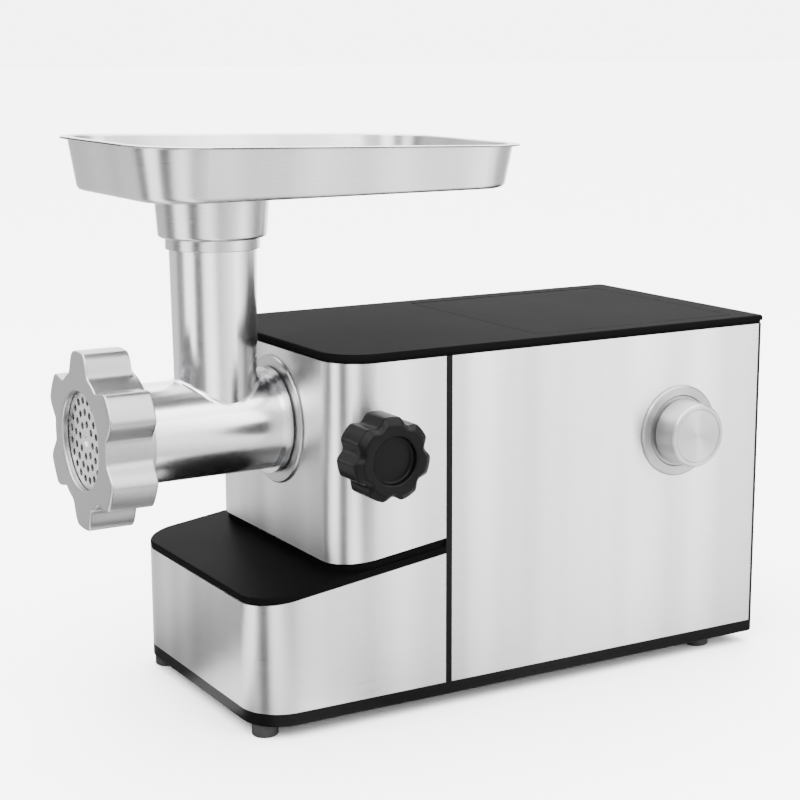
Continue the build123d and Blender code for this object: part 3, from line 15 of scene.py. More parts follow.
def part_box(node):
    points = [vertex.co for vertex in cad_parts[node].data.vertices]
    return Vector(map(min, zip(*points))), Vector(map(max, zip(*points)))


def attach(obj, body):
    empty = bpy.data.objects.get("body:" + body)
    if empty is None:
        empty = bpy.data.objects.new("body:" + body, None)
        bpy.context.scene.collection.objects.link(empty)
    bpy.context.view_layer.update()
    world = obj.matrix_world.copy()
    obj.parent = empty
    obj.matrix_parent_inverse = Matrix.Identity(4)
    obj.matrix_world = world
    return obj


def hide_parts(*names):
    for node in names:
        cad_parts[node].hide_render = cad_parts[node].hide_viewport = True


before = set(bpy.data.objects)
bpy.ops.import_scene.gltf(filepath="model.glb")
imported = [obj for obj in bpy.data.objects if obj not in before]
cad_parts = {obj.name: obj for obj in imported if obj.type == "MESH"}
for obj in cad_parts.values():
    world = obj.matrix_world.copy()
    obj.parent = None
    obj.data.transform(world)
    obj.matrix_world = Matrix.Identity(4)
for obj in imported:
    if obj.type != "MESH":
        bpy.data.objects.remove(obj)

bpy.context.view_layer.update()

bl_info = {
    "name": "Meat grinder looks",
    "version": (1, 0, 0),
    "blender": (4, 5, 0),
    "location": "3D View > Sidebar > Grinder",
    "description": "Finishes and surfaces of a countertop meat grinder, piece by piece",
    "category": "Object",
}

HOME = np.array([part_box("upper_skin")[0].x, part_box("upper_skin")[0].y, 0.0])


def length(name, description, metres):
    """A length property."""
    return bpy.props.FloatProperty(name=name, description=description, default=metres, unit="LENGTH", precision=5)


def number(name, description, value):
    """A plain number property."""
    return bpy.props.FloatProperty(name=name, description=description, default=value)


def colour(name, description, rgb):
    """A colour property."""
    return bpy.props.FloatVectorProperty(
        name=name, description=description, default=rgb, size=3, min=0.0, max=1.0, subtype="COLOR"
    )


# ---------------------------------------------------------------- finishes
class FinishSettings(bpy.types.PropertyGroup):
    """Colours of the grinder's finishes."""

    steel: colour("Sheet steel", "Brushed stainless sheet of the housing", (0.54, 0.54, 0.54))
    tray: colour("Tray steel", "Satin stainless of the feed tray", (0.44, 0.44, 0.44))
    cast: colour("Polished casting", "Polished metal of the grinding head", (0.54, 0.54, 0.55))
    nut: colour("Satin casting", "Satin metal of the ring nut", (0.26, 0.26, 0.26))
    knob: colour("Spun metal", "Turned metal of the control knob", (0.34, 0.34, 0.34))
    lid: colour("Lid plastic", "Satin charcoal plastic of the lid", (0.002, 0.002, 0.0021))
    black: colour("Black plastic", "Dark plastic of base, strip and edges", (0.0015, 0.0015, 0.0016))
    deck: colour("Deck plastic", "Dark grey plastic of the sloping deck", (0.0015, 0.0015, 0.0016))
    rubber: colour("Rubber", "Feet and cord grommet", (0.012, 0.012, 0.012))


class TraySettings(bpy.types.PropertyGroup):
    """Sizes of the feed tray and its neck."""

    left: length("Left", "Left edge of the lip", -0.120)
    right: length("Right", "Right edge of the lip", 0.136)
    front: length("Front", "Front edge of the lip", -0.010)
    back: length("Back", "Back edge of the lip", 0.157)
    corner: length("Corner", "Plan radius of the lip's corners", 0.038)
    lip: length("Lip", "Width of the rolled-out lip", 0.0045)
    draft: length("Draft", "How far the walls lean in at the floor", 0.005)
    floor: length("Floor", "Height of the pan's underside", 0.321)
    rim: length("Rim", "Height of the lip at the throat's end", 0.3535)
    fall: number("Fall", "Slope of the rim along the tray", -0.026)
    sheet: length("Sheet", "Thickness of the sheet", 0.0014)
    bend: length("Bend", "Outer radius between floor and wall", 0.004)
    neck_x: length("Neck X", "Neck's axis along the housing", -0.039)
    neck_y: length("Neck Y", "Neck's axis across the housing", 0.088)
    neck_top: length("Neck top radius", "Outer radius under the floor", 0.035)
    neck_low: length("Neck low radius", "Outer radius above the collar", 0.033)
    neck_low_z: length("Neck low", "Height where the neck steps in", 0.293)
    collar: length("Collar radius", "Outer radius of the collar", 0.0288)
    collar_z: length("Collar bottom", "Height of the collar's bottom", 0.286)
    sleeve: length("Sleeve radius", "Inner radius over the throat", 0.0275)
    sleeve_top: length("Sleeve top", "Height of the sleeve's top", 0.3163)
    hole: length("Hole radius", "Hole in the tray's floor", 0.0235)


class NutSettings(bpy.types.PropertyGroup):
    """Sizes of the ring nut."""

    axis_y: length("Axis Y", "Head's axis across the housing", 0.088)
    axis_z: length("Axis Z", "Head's axis above the table", 0.1761)
    front: length("Front", "Front face", -0.128)
    back: length("Back", "Back edge", -0.096)
    valley: length("Valley radius", "Radius between the lobes", 0.042)
    rise: length("Lobe rise", "How far a lobe stands out", 0.012)
    lobes: bpy.props.IntProperty(name="Lobes", description="Number of lobes", default=6)
    mouth: length("Mouth radius", "Front opening", 0.030)
    lip: length("Lip", "Thickness of the front lip", 0.004)
    bore: length("Bore radius", "Threaded bore", 0.0358)
    skirt: length("Skirt", "Plain ring behind the lobes", 0.003)
    edge: length("Edge", "Rounding of the lobes' ends", 0.0014)


class LockKnobSettings(bpy.types.PropertyGroup):
    """Sizes of the lock knob."""

    x: length("X", "Axis along the housing", 0.0165)
    z: length("Z", "Axis above the table", 0.1716)
    front: length("Front", "Front face", -0.0365)
    back: length("Back", "Back of the grip", -0.0095)
    hub_back: length("Hub back", "Back of the hub", -0.0015)
    hub: length("Hub radius", "Hub behind the grip", 0.014)
    grip: length("Grip radius", "Radius over the lobes", 0.0254)
    notch: length("Notch", "Depth between the lobes", 0.0034)
    lobes: bpy.props.IntProperty(name="Lobes", description="Number of lobes", default=7)
    recess: length("Recess radius", "Round recess in the face", 0.0144)
    recess_depth: length("Recess depth", "Depth of the recess", 0.005)


class ControlKnobSettings(bpy.types.PropertyGroup):
    """Sizes of the control knob and its plate."""

    x: length("X", "Axis along the housing", 0.2515)
    z: length("Z", "Axis above the table", 0.157)
    front: length("Front", "Front face", -0.021)
    back: length("Back", "Back face", -0.0024)
    back_radius: length("Back radius", "Radius at the back", 0.0214)
    front_radius: length("Front radius", "Radius at the front", 0.0206)
    plate: length("Plate radius", "Radius of the plate", 0.030)
    plate_width: length("Plate thickness", "How far the plate stands out", 0.002)
    head_plate: length("Head plate radius", "Plate round the barrel", 0.0405)
    head_plate_width: length("Head plate thickness", "How far the barrel's plate stands out", 0.0016)
    barrel: length("Barrel radius", "Hole in the barrel's plate", 0.0309)


class StageSettings(bpy.types.PropertyGroup):
    """Camera, floor and lights."""

    camera_x: length("Camera X", "Camera place in the maker's frame", -0.4972)
    camera_y: length("Camera Y", "Camera place in the maker's frame", -0.9247)
    camera_z: length("Camera Z", "Camera height above the table", 0.412)
    heading: bpy.props.FloatProperty(
        name="Heading", description="Turn from +Y towards +X", default=math.radians(30.18), subtype="ANGLE"
    )
    pitch: bpy.props.FloatProperty(
        name="Pitch", description="Tilt above the horizon", default=math.radians(-11.27), subtype="ANGLE"
    )
    roll: bpy.props.FloatProperty(
        name="Roll", description="Turn about the line of sight", default=math.radians(-0.16), subtype="ANGLE"
    )
    lens: number("Lens", "Focal length in millimetres on a 36 mm sensor", 82.5)
    floor_size: length("Floor size", "Side of the floor", 44.0)
    floor_colour: colour("Floor colour", "Pale matt floor", (0.88, 0.88, 0.88))
    # level of the floor colour under the painted reflection that glossy rays see on the floor
    mirrored: number("Mirrored floor", "How much of the floor's paleness the metal mirrors", 0.8)
    middle_x: length("Middle X", "Where the surround's bearings are taken from", 0.08)
    middle_y: length("Middle Y", "Where the surround's bearings are taken from", 0.09)
    world_strength: number("World light", "Strength of the surrounding light", 6.0)
    overhead: number("Overhead light", "Level overhead, against the brightest at the horizon", 1.7)


def node_tree(name):
    """A fresh material with its Principled shader."""
    material = bpy.data.materials.new(name)
    material.use_nodes = True
    shader = material.node_tree.nodes["Principled BSDF"]
    return material, material.node_tree, shader


def coordinates(tree, stretch, centre=(0, 0, 0), turn=(0, 0, 0)):
    """Object coordinates, centred, turned and stretched by a Mapping node."""
    where = tree.nodes.new("ShaderNodeTexCoord")
    place = tree.nodes.new("ShaderNodeMapping")
    place.vector_type = "TEXTURE"
    place.inputs["Location"].default_value = centre
    place.inputs["Rotation"].default_value = turn
    place.inputs["Scale"].default_value = [1 / s for s in stretch]
    tree.links.new(where.outputs["Object"], place.inputs["Vector"])
    return place.outputs["Vector"]


def noise(tree, vector, scale, detail=4.0, roughness=0.55):
    """Fractal noise, 0 to 1."""
    texture = tree.nodes.new("ShaderNodeTexNoise")
    texture.inputs["Scale"].default_value = scale
    texture.inputs["Detail"].default_value = detail
    texture.inputs["Roughness"].default_value = roughness
    tree.links.new(vector, texture.inputs["Vector"])
    return texture.outputs["Fac"]


def spread(tree, value, low, high, start=0.3, end=0.7):
    """The value carried from start..end to low..high."""
    ranged = tree.nodes.new("ShaderNodeMapRange")
    for socket, limit in zip(("From Min", "From Max", "To Min", "To Max"), (start, end, low, high)):
        ranged.inputs[socket].default_value = limit
    tree.links.new(value, ranged.inputs["Value"])
    return ranged.outputs["Result"]


def tinted(tree, factor, rgb, shade):
    """The colour, darkened to shade times itself where the factor is 0."""
    mix = tree.nodes.new("ShaderNodeMix")
    mix.data_type = "RGBA"
    mix.inputs["A"].default_value = (*[c * shade for c in rgb], 1)
    mix.inputs["B"].default_value = (*rgb, 1)
    tree.links.new(factor, mix.inputs["Factor"])
    return mix.outputs["Result"]


def bumped(tree, shader, height, strength, distance):
    """Fine relief from a height value."""
    bump = tree.nodes.new("ShaderNodeBump")
    bump.inputs["Strength"].default_value = strength
    bump.inputs["Distance"].default_value = distance
    tree.links.new(height, bump.inputs["Height"])
    tree.links.new(bump.outputs["Normal"], shader.inputs["Normal"])


def metal(
    name, rgb, rough, stretch, scale, strength=0.12, shade=0.9,
    rough_spread=0.08, distance=0.00005, drawn=0.0, painted_band_share=1.0,
):  # fmt: skip
    """A metal whose grain is noise stretched along one way, with a slow cloudiness in gloss.

    Where the share given for the banding is under 1, broad upright stripes darken the colour to that share: painted
    reflection, standing in for the light and dark surroundings mirrored in the sheet.
    """
    material, tree, shader = node_tree(name)
    shader.inputs["Anisotropic"].default_value = drawn
    shader.inputs["Anisotropic Rotation"].default_value = 0.25
    grain = noise(tree, coordinates(tree, stretch), scale)
    cloud = noise(tree, coordinates(tree, (1, 1, 1)), 14.0, 3.0)
    shader.inputs["Metallic"].default_value = 1.0
    # slow upright noise that darkens the colour in stripes: painted reflection bands, not a property of the sheet
    bands = noise(tree, coordinates(tree, (22, 22, 0.4)), 1.0, 1.5, 0.5)
    tone = tree.nodes.new("ShaderNodeMath")
    tone.operation = "MULTIPLY"
    tree.links.new(spread(tree, grain, shade, 1), tone.inputs[0])
    tree.links.new(spread(tree, bands, painted_band_share, 1, 0.36, 0.64), tone.inputs[1])
    tree.links.new(tinted(tree, tone.outputs[0], rgb, 0.0), shader.inputs["Base Color"])
    blend = tree.nodes.new("ShaderNodeMath")
    blend.operation = "ADD"
    tree.links.new(spread(tree, grain, rough - rough_spread / 2, rough + rough_spread / 2), blend.inputs[0])
    tree.links.new(spread(tree, cloud, -rough_spread / 4, rough_spread / 4), blend.inputs[1])
    tree.links.new(blend.outputs[0], shader.inputs["Roughness"])
    bumped(tree, shader, grain, strength, distance)
    return material


def spun_metal(name, rgb, rough, centre, axis, rings=900.0):
    """Turned metal: fine rings about an axis through the centre, so gloss gathers in opposite fans.

    The rings are noise read from the distance to the axis, and the gloss is drawn out across them.
    """
    material, tree, shader = node_tree(name)
    where = coordinates(tree, (1, 1, 1), centre)
    flat = tree.nodes.new("ShaderNodeVectorMath")
    flat.operation = "MULTIPLY"
    flat.inputs[1].default_value = (0, 1, 1) if axis == "X" else (1, 0, 1)
    tree.links.new(where, flat.inputs[0])
    distance = tree.nodes.new("ShaderNodeVectorMath")
    distance.operation = "LENGTH"
    tree.links.new(flat.outputs[0], distance.inputs[0])
    radius = tree.nodes.new("ShaderNodeCombineXYZ")
    tree.links.new(distance.outputs["Value"], radius.inputs["X"])
    ring = noise(tree, radius.outputs[0], rings, 5.0, 0.7)
    round_way = tree.nodes.new("ShaderNodeTangent")
    round_way.direction_type, round_way.axis = "RADIAL", axis
    tree.links.new(round_way.outputs["Tangent"], shader.inputs["Tangent"])
    shader.inputs["Anisotropic"].default_value = 0.92
    shader.inputs["Anisotropic Rotation"].default_value = 0.25
    shader.inputs["Metallic"].default_value = 1.0
    tree.links.new(tinted(tree, spread(tree, ring, 0, 1), rgb, 0.8), shader.inputs["Base Color"])
    tree.links.new(spread(tree, ring, rough - 0.05, rough + 0.05), shader.inputs["Roughness"])
    bumped(tree, shader, ring, 0.2, 0.0001)
    return material


def plastic(name, rgb, rough, strength=0.1, scale=1400.0, shade=0.8, specular=0.5):
    """Moulded plastic: fine texture in relief and gloss, with a faint cloudiness."""
    material, tree, shader = node_tree(name)
    where = coordinates(tree, (1, 1, 1))
    fine = noise(tree, where, scale, 2.0)
    cloud = noise(tree, where, 20.0, 3.0)
    tree.links.new(tinted(tree, spread(tree, cloud, 0, 1), rgb, shade), shader.inputs["Base Color"])
    tree.links.new(spread(tree, cloud, rough - 0.01, rough + 0.01), shader.inputs["Roughness"])
    shader.inputs["Specular IOR Level"].default_value = specular
    bumped(tree, shader, fine, strength, 0.00006)
    return material


def laminated(name, rgb, rough, period=0.0007):
    """Stacked sheet: thin bands along X in colour and relief."""
    material, tree, shader = node_tree(name)
    wave = tree.nodes.new("ShaderNodeTexWave")
    wave.wave_type = "BANDS"
    wave.bands_direction = "X"
    wave.inputs["Scale"].default_value = 1 / period / 20
    tree.links.new(coordinates(tree, (1, 1, 1)), wave.inputs["Vector"])
    shader.inputs["Metallic"].default_value = 0.8
    shader.inputs["Roughness"].default_value = rough
    tree.links.new(tinted(tree, wave.outputs["Fac"], rgb, 0.6), shader.inputs["Base Color"])
    bumped(tree, shader, wave.outputs["Fac"], 0.3, 0.0001)
    return material


def wound(name, rgb, rough):
    """Enamelled wire: fine strands round the X axis, warm and glossy."""
    material, tree, shader = node_tree(name)
    strands = noise(tree, coordinates(tree, (900, 60, 60)), 1.0, 2.0)
    shader.inputs["Metallic"].default_value = 0.9
    tree.links.new(tinted(tree, spread(tree, strands, 0, 1), rgb, 0.45), shader.inputs["Base Color"])
    tree.links.new(spread(tree, strands, rough - 0.08, rough + 0.08), shader.inputs["Roughness"])
    bumped(tree, shader, strands, 0.6, 0.0003)
    return material


# ---------------------------------------------------------------- drawn surfaces
SUPPORT = 0.0004  # rows stand this far from a rounded edge, so flat faces stay flat in the light


def unit(vectors):
    """Vectors over their lengths."""
    return vectors / np.linalg.norm(vectors, axis=-1, keepdims=True)


def rounded_path(points, radii, steps=6):
    """A path of straight runs whose corners are arcs tangent to both runs.

    At a corner with half angle h and radius r the arc's centre lies r / sin h along the bisector, and its points
    turn evenly from one tangent point to the other. A support point stands before and after each arc.
    """
    points = np.asarray(points, float)
    pieces = [points[:1]]
    for before, corner, after, radius in zip(points, points[1:], points[2:], radii):
        back, on = unit(before - corner), unit(after - corner)
        half = np.arccos(np.clip(back @ on, -1, 1)) / 2
        centre = corner + unit(back + on) * radius / np.sin(half)
        reach = radius / np.tan(half)
        first, last = corner + back * reach - centre, corner + on * reach - centre
        share = np.linspace(0, 1, steps + 1)[:, None]
        angle = np.pi - 2 * half
        arc = centre + (np.sin((1 - share) * angle) * first + np.sin(share * angle) * last) / np.sin(angle)
        pieces += [(corner + back * (reach + SUPPORT))[None], arc, (corner + on * (reach + SUPPORT))[None]]
    return np.vstack(pieces + [points[-1:]])


def closed_path(points, radii, steps=6):
    """A rounded path round all the points and back, every corner an arc."""
    points = np.asarray(points, float)
    start = (points[0] + points[-1]) / 2
    return rounded_path(np.vstack([start, points, start]), radii, steps)[:-1]


def rectangle_ring(x0, x1, y0, y1, radius, steps=8, side=24):
    """A closed rectangle in plan: quarter turns centre + r (cos t, sin t), joined by evenly divided sides."""
    corners = np.array([[x0, y0], [x1, y0], [x1, y1], [x0, y1]])
    inward = np.array([[1, 1], [-1, 1], [-1, -1], [1, -1]])
    turn = np.radians(np.array([180, 270, 0, 90])[:, None] + np.linspace(0, 90, steps + 1))
    arcs = (corners + inward * radius)[:, None] + radius * np.stack([np.cos(turn), np.sin(turn)], -1)
    ends, starts = arcs[:, -1], np.roll(arcs[:, 0], -1, 0)
    run = unit(starts - ends) * SUPPORT
    share = np.linspace(0, 1, side)[None, :, None]
    sides = (ends + run)[:, None] * (1 - share) + (starts - run)[:, None] * share
    return np.concatenate([arcs, sides], 1).reshape(-1, 2)


def surface(name, grid, finish, closed_rows=False):
    """A mesh over a grid of points whose columns run round; rows run round too, or end in poles."""
    grid = grid + HOME
    rows, columns = grid.shape[:2]
    index = np.arange(rows * columns).reshape(rows, columns)
    low = index if closed_rows else index[:-1]
    high = np.roll(index, -1, 0) if closed_rows else index[1:]
    faces = np.stack([low, np.roll(low, -1, 1), np.roll(high, -1, 1), high], -1).reshape(-1, 4)
    mesh = bpy.data.meshes.new(name)
    mesh.from_pydata(grid.reshape(-1, 3).tolist(), [], faces.tolist())
    work = bmesh.new()
    work.from_mesh(mesh)
    bmesh.ops.remove_doubles(work, verts=work.verts, dist=1e-6)
    bmesh.ops.recalc_face_normals(work, faces=work.faces)
    work.to_mesh(mesh)
    work.free()
    mesh.shade_smooth()
    mesh.materials.append(FINISH[finish])
    piece = bpy.data.objects.new(name, mesh)
    bpy.context.scene.collection.objects.link(piece)
    return piece


def stands_for(piece, body, slot, *nodes):
    """The piece moves with a body and stands for CAD nodes, which are hidden; the slot is not used."""
    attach(piece, body)
    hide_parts(*nodes)


def turned(name, path, axis, centre, finish, lobe=None, columns=168, closed_rows=True):
    """A profile carried round an axis.

    The path's columns are the place along the axis, the radius and the height of a lobe. A point lies at
    radius + height x lobe(angle) from the axis, where lobe runs from 0 to 1.
    """
    path = np.asarray(path, float)
    angle = np.linspace(0, 2 * np.pi, columns, endpoint=False)
    rise = path[:, 2:] * lobe(angle)[None] if lobe is not None else 0.0
    radius = path[:, 1:2] + rise
    along = np.broadcast_to(path[:, :1], radius.shape if lobe is not None else (len(path), columns))
    across, up = radius * np.cos(angle), radius * np.sin(angle)
    order = {"X": (along, across, up), "Y": (across, along, up), "Z": (across, up, along)}[axis]
    return surface(name, np.stack(order, -1) + np.asarray(centre), finish, closed_rows)


def smooth_step(value):
    """3 v^2 - 2 v^3 between 0 and 1."""
    value = np.clip(value, 0, 1)
    return value * value * (3 - 2 * value)


def from_nearest(angle, count, start):
    """The angle to the nearest of evenly spaced places round a circle."""
    pitch = 2 * np.pi / count
    return np.abs((angle - start + pitch / 2) % pitch - pitch / 2)


FINISH = {}


class GRINDER_OT_finishes(bpy.types.Operator):
    """Make every finish that the pieces share"""

    bl_idname = "grinder.finishes"
    bl_label = "Finishes"

    def execute(self, context):
        look = context.scene.grinder_finish
        control, nut = context.scene.grinder_control, context.scene.grinder_nut
        knob = HOME + np.array([control.x, 0.0, control.z])
        barrel = HOME + np.array([0.0, nut.axis_y, nut.axis_z])
        FINISH.update(
            # the panel and tray steels carry painted reflection bands in their colour (the banding share under 1)
            panel_steel=metal(
                "panel_steel", look.steel, 0.32, (30, 30, 1800), 1.0, 0.04, 0.93, drawn=0.85, painted_band_share=0.62
            ),
            tray_steel=metal("tray_steel", look.tray, 0.3, (60, 60, 1100), 1.0, 0.02, 0.97, drawn=0.7, painted_band_share=0.72),
            polished_casting=metal("polished_casting", look.cast, 0.21, (400, 400, 400), 1.0, 0.03, 0.95, 0.03),
            satin_casting=metal("satin_casting", look.nut, 0.36, (900, 900, 900), 1.0, 0.12, 0.88),
            spun_knob=spun_metal("spun_knob", look.knob, 0.36, knob, "Y"),
            spun_plate=spun_metal("spun_plate", [c * 0.8 for c in look.knob], 0.36, knob, "Y"),
            spun_barrel_plate=spun_metal("spun_barrel_plate", look.knob, 0.3, barrel, "X", 500.0),
            lid_plastic=plastic("lid_plastic", look.lid, 0.6, 0.2, 2200.0, 0.94, 0.004),
            base_plastic=plastic("base_plastic", look.black, 0.34, 0.14, 1500.0, 0.9, 0.05),
            strip_gloss=plastic("strip_gloss", look.black, 0.2, 0.02, 900.0, 0.9, 0.05),
            deck_plastic=plastic("deck_plastic", look.deck, 0.45, 0.14, 1500.0, 0.94, 0.004),
            lock_plastic=plastic("lock_plastic", look.black, 0.32, 0.1, 1600.0, 0.9, 0.05),
            inner_plastic=plastic("inner_plastic", (0.016, 0.016, 0.017), 0.5, 0.2, 900.0),
            foot_rubber=plastic("foot_rubber", look.rubber, 0.62, 0.3, 1100.0, 0.7, 0.3),
            tool_steel=metal("tool_steel", (0.55, 0.55, 0.56), 0.28, (900, 40, 900), 1.0, 0.08, 0.85),
            cast_screw=metal("cast_screw", (0.60, 0.60, 0.61), 0.42, (500, 500, 500), 1.0, 0.18, 0.85),
            zinc_plate=metal("zinc_plate", (0.55, 0.55, 0.53), 0.3, (300, 300, 300), 1.0, 0.05, 0.85),
            machined_steel=metal("machined_steel", (0.36, 0.36, 0.37), 0.32, (1200, 80, 80), 1.0, 0.1, 0.8),
            sintered_bronze=metal("sintered_bronze", (0.50, 0.33, 0.13), 0.45, (1100, 1100, 1100), 1.0, 0.2, 0.7),
            copper_wire=wound("copper_wire", (0.55, 0.22, 0.08), 0.3),
            stacked_sheet=laminated("stacked_sheet", (0.19, 0.19, 0.20), 0.45),
            gear_nylon=plastic("gear_nylon", (0.72, 0.70, 0.58), 0.4, 0.1, 900.0, 0.93),
            washer_nylon=plastic("washer_nylon", (0.78, 0.78, 0.74), 0.42, 0.1, 900.0, 0.94),
            pressed_carbon=plastic("pressed_carbon", (0.02, 0.02, 0.021), 0.55, 0.4, 1800.0),
            capacitor_case=plastic("capacitor_case", (0.50, 0.36, 0.05), 0.35, 0.08, 700.0, 0.9),
        )
        return {"FINISHED"}


CARRIED = {
    "panel_steel": ("lower_skin", "upper_skin", "main_skin"),
    "tray_steel": ("food_tray",),
    "polished_casting": ("grinder_head", "head_bezel"),
    "satin_casting": ("ring_nut",),
    "spun_knob": ("control_knob", "knob_bezel"),
    "lid_plastic": ("top_lid", "storage_cover"),
    "base_plastic": ("base_pan", "end_cover"),
    "strip_gloss": ("centre_frame",),
    "deck_plastic": ("platform_deck",),
    "lock_plastic": ("lock_knob",),
    "inner_plastic": (
        "storage_bin", "vent_grille", "rotary_switch", "terminal_block", "brush_holders", "cooling_fan",
    ),
    "foot_rubber": ("rubber_feet", "cord_grommet"),
    "tool_steel": ("cutting_plate", "cross_knife"),
    "cast_screw": ("feed_screw", "head_socket", "motor_bracket_front", "motor_bracket_rear"),
    "zinc_plate": (
        "foot_screws", "socket_screws", "case_screws", "tie_screws", "cover_pins", "gear_posts", "lock_stem",
        "lock_pad", "switch_spindle",
    ),
    "machined_steel": (
        "output_shaft", "middle_shaft", "first_shaft", "rotor_shaft", "gear_plate_front", "gear_plate_rear",
        "output_gear", "middle_gear",
    ),
    "gear_nylon": ("first_gear",),
    "washer_nylon": ("thrust_washer",),
    "sintered_bronze": ("shaft_bushes", "motor_bearings", "lock_bush"),
    "copper_wire": ("field_coils", "rotor_windings", "commutator"),
    "stacked_sheet": ("motor_stator", "rotor_core"),
    "pressed_carbon": ("carbon_brushes",),
    "capacitor_case": ("suppressor",),
}  # fmt: skip


class GRINDER_OT_works(bpy.types.Operator):
    """Give every carried-over node its finish, inside and out"""

    bl_idname = "grinder.works"
    bl_label = "Housing parts and works"

    def execute(self, context):
        dressed = set()
        for finish, nodes in CARRIED.items():
            for node in nodes:
                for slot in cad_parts[node].material_slots:
                    slot.link = "OBJECT"
                    slot.material = FINISH[finish]
                dressed.add(node)
        bare = set(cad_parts) - dressed
        if bare:
            raise RuntimeError(f"nodes without a finish: {sorted(bare)}")
        return {"FINISHED"}


TRAY_FLOOR_ROW = 0.020  # how far in from the lip the pan's flat floor begins to run to the neck
NECK_FOOT = 0.003  # how far round the neck and the hole the floor's last rows stand
SMALLEST_CORNER = 0.001  # plan radius that the inner rings never fall below
WALL_ROUNDING = [0.0016, 0.0006, 0.0006, 0.0005]  # inner rim, lip's top and bottom edges, under the lip
NECK_ROUNDING = [0.0012, 0.0020, 0.0008, 0.0005, 0.0004, 0.0003, 0.0003, 0.0008]  # corners from floor to hole


class GRINDER_OT_tray(bpy.types.Operator):
    """Feed tray: pan, rolled lip and the neck that drops over the throat"""

    bl_idname = "grinder.tray"
    bl_label = "Feed tray"

    @staticmethod
    def ring(tray, inset):
        """The lip's outline drawn in by an inset, with its corners' radius less by as much."""
        corner = max(tray.corner - inset, SMALLEST_CORNER)
        return rectangle_ring(
            tray.left + inset, tray.right - inset, tray.front + inset, tray.back - inset, corner
        )

    def execute(self, context):
        tray = context.scene.grinder_tray
        top = tray.floor + tray.sheet
        height = tray.rim - tray.floor
        inner = tray.lip + tray.sheet
        wall = rounded_path(
            [
                (TRAY_FLOOR_ROW, top),
                (inner + tray.draft, top),
                (inner, tray.rim),
                (0.0, tray.rim),
                (0.0, tray.rim - tray.sheet),
                (tray.lip, tray.rim - tray.sheet),
                (tray.lip + tray.draft, tray.floor),
                (TRAY_FLOOR_ROW, tray.floor),
            ],
            [tray.bend - tray.sheet, *WALL_ROUNDING, tray.bend],
        )
        neck = rounded_path(
            [
                (tray.neck_top + NECK_FOOT, tray.floor),
                (tray.neck_top, tray.floor),
                (tray.neck_low, tray.neck_low_z),
                (tray.collar, tray.neck_low_z),
                (tray.collar, tray.collar_z),
                (tray.sleeve, tray.collar_z),
                (tray.sleeve, tray.sleeve_top),
                (tray.hole, tray.sleeve_top),
                (tray.hole, top),
                (tray.hole + NECK_FOOT, top),
            ],
            NECK_ROUNDING,
        )
        rings = np.stack([self.ring(tray, inset) for inset in wall[:, 0]])
        lift = (wall[:, 1:] - tray.floor) / height
        z = tray.floor + lift * (height + tray.fall * (rings[..., 0] - tray.left))
        pan = np.concatenate([rings, z[..., None]], -1)
        centre = np.array([tray.neck_x, tray.neck_y])
        way = unit(rings[0] - centre)
        round_rows = centre + neck[:, :1, None] * way[None]
        heights = np.broadcast_to(neck[:, 1:2, None], (*round_rows.shape[:2], 1))
        sleeve = np.concatenate([round_rows, heights], -1)
        piece = surface("feed_tray", np.concatenate([pan, sleeve]), "tray_steel", closed_rows=True)
        stands_for(piece, "food_tray", "tray_steel", "food_tray")
        return {"FINISHED"}


NUT_SKIRT_IN = 0.0006  # how far the skirt stands under the valleys
NUT_ROUNDING = [0.0004, 0.0003, 0.0006, 0.0012]  # bore's back edge, lip's back, mouth's back and front edges
SKIRT_ROUNDING = [0.0003, 0.0008]  # where the skirt meets the lobes, and its back edge
LOBE_FLAT, LOBE_FLANK = 0.14, 0.25  # half the lobe's top and the width of its flank, in radians


class GRINDER_OT_nut(bpy.types.Operator):
    """Ring nut with broad lobes, bevelled front rim and plain skirt"""

    bl_idname = "grinder.nut"
    bl_label = "Ring nut"

    def execute(self, context):
        nut = context.scene.grinder_nut
        lobes_end = nut.back - nut.skirt
        path = closed_path(
            [
                (nut.back, nut.bore, 0),
                (nut.front + nut.lip, nut.bore, 0),
                (nut.front + nut.lip, nut.mouth, 0),
                (nut.front, nut.mouth, 0),
                (nut.front, nut.valley, nut.rise),
                (lobes_end, nut.valley, nut.rise),
                (lobes_end, nut.valley - NUT_SKIRT_IN, 0),
                (nut.back, nut.valley - NUT_SKIRT_IN, 0),
            ],
            [*NUT_ROUNDING, nut.edge, nut.edge, *SKIRT_ROUNDING],
        )

        def lobe(angle):
            """1 on a lobe, falling along 3 v^2 - 2 v^3 to 0 in the valley between."""
            return 1 - smooth_step((from_nearest(angle, nut.lobes, np.pi / nut.lobes) - LOBE_FLAT) / LOBE_FLANK)

        centre = (0, nut.axis_y, nut.axis_z)
        piece = turned("ring_nut_casting", path, "X", centre, "satin_casting", lobe, 240)
        stands_for(piece, "ring_nut", "nut_metal", "ring_nut")
        return {"FINISHED"}


RECESS_LIP = 0.0004  # the recess's edge, behind the face
FACE_IN, FACE_SHARE = 0.003, 0.6  # where the face ends, in from the lobes, and its share of a lobe's height
SHOULDER = 0.0035  # from the face back to the lobes' full height
BACK_BEVEL, BACK_SHARE = 0.002, 0.8  # the grip's back bevel and its share of a lobe's height
NOTCH_FLAT, NOTCH_FLANK = 0.02, 0.26  # half the notch's bottom and the width of its flank, in radians
GRIP_ROUNDING = [0.0015, 0.0010, 0.0016, 0.0024, 0.0014, 0.0010, 0.0010, 0.0008]  # corners from recess to hub


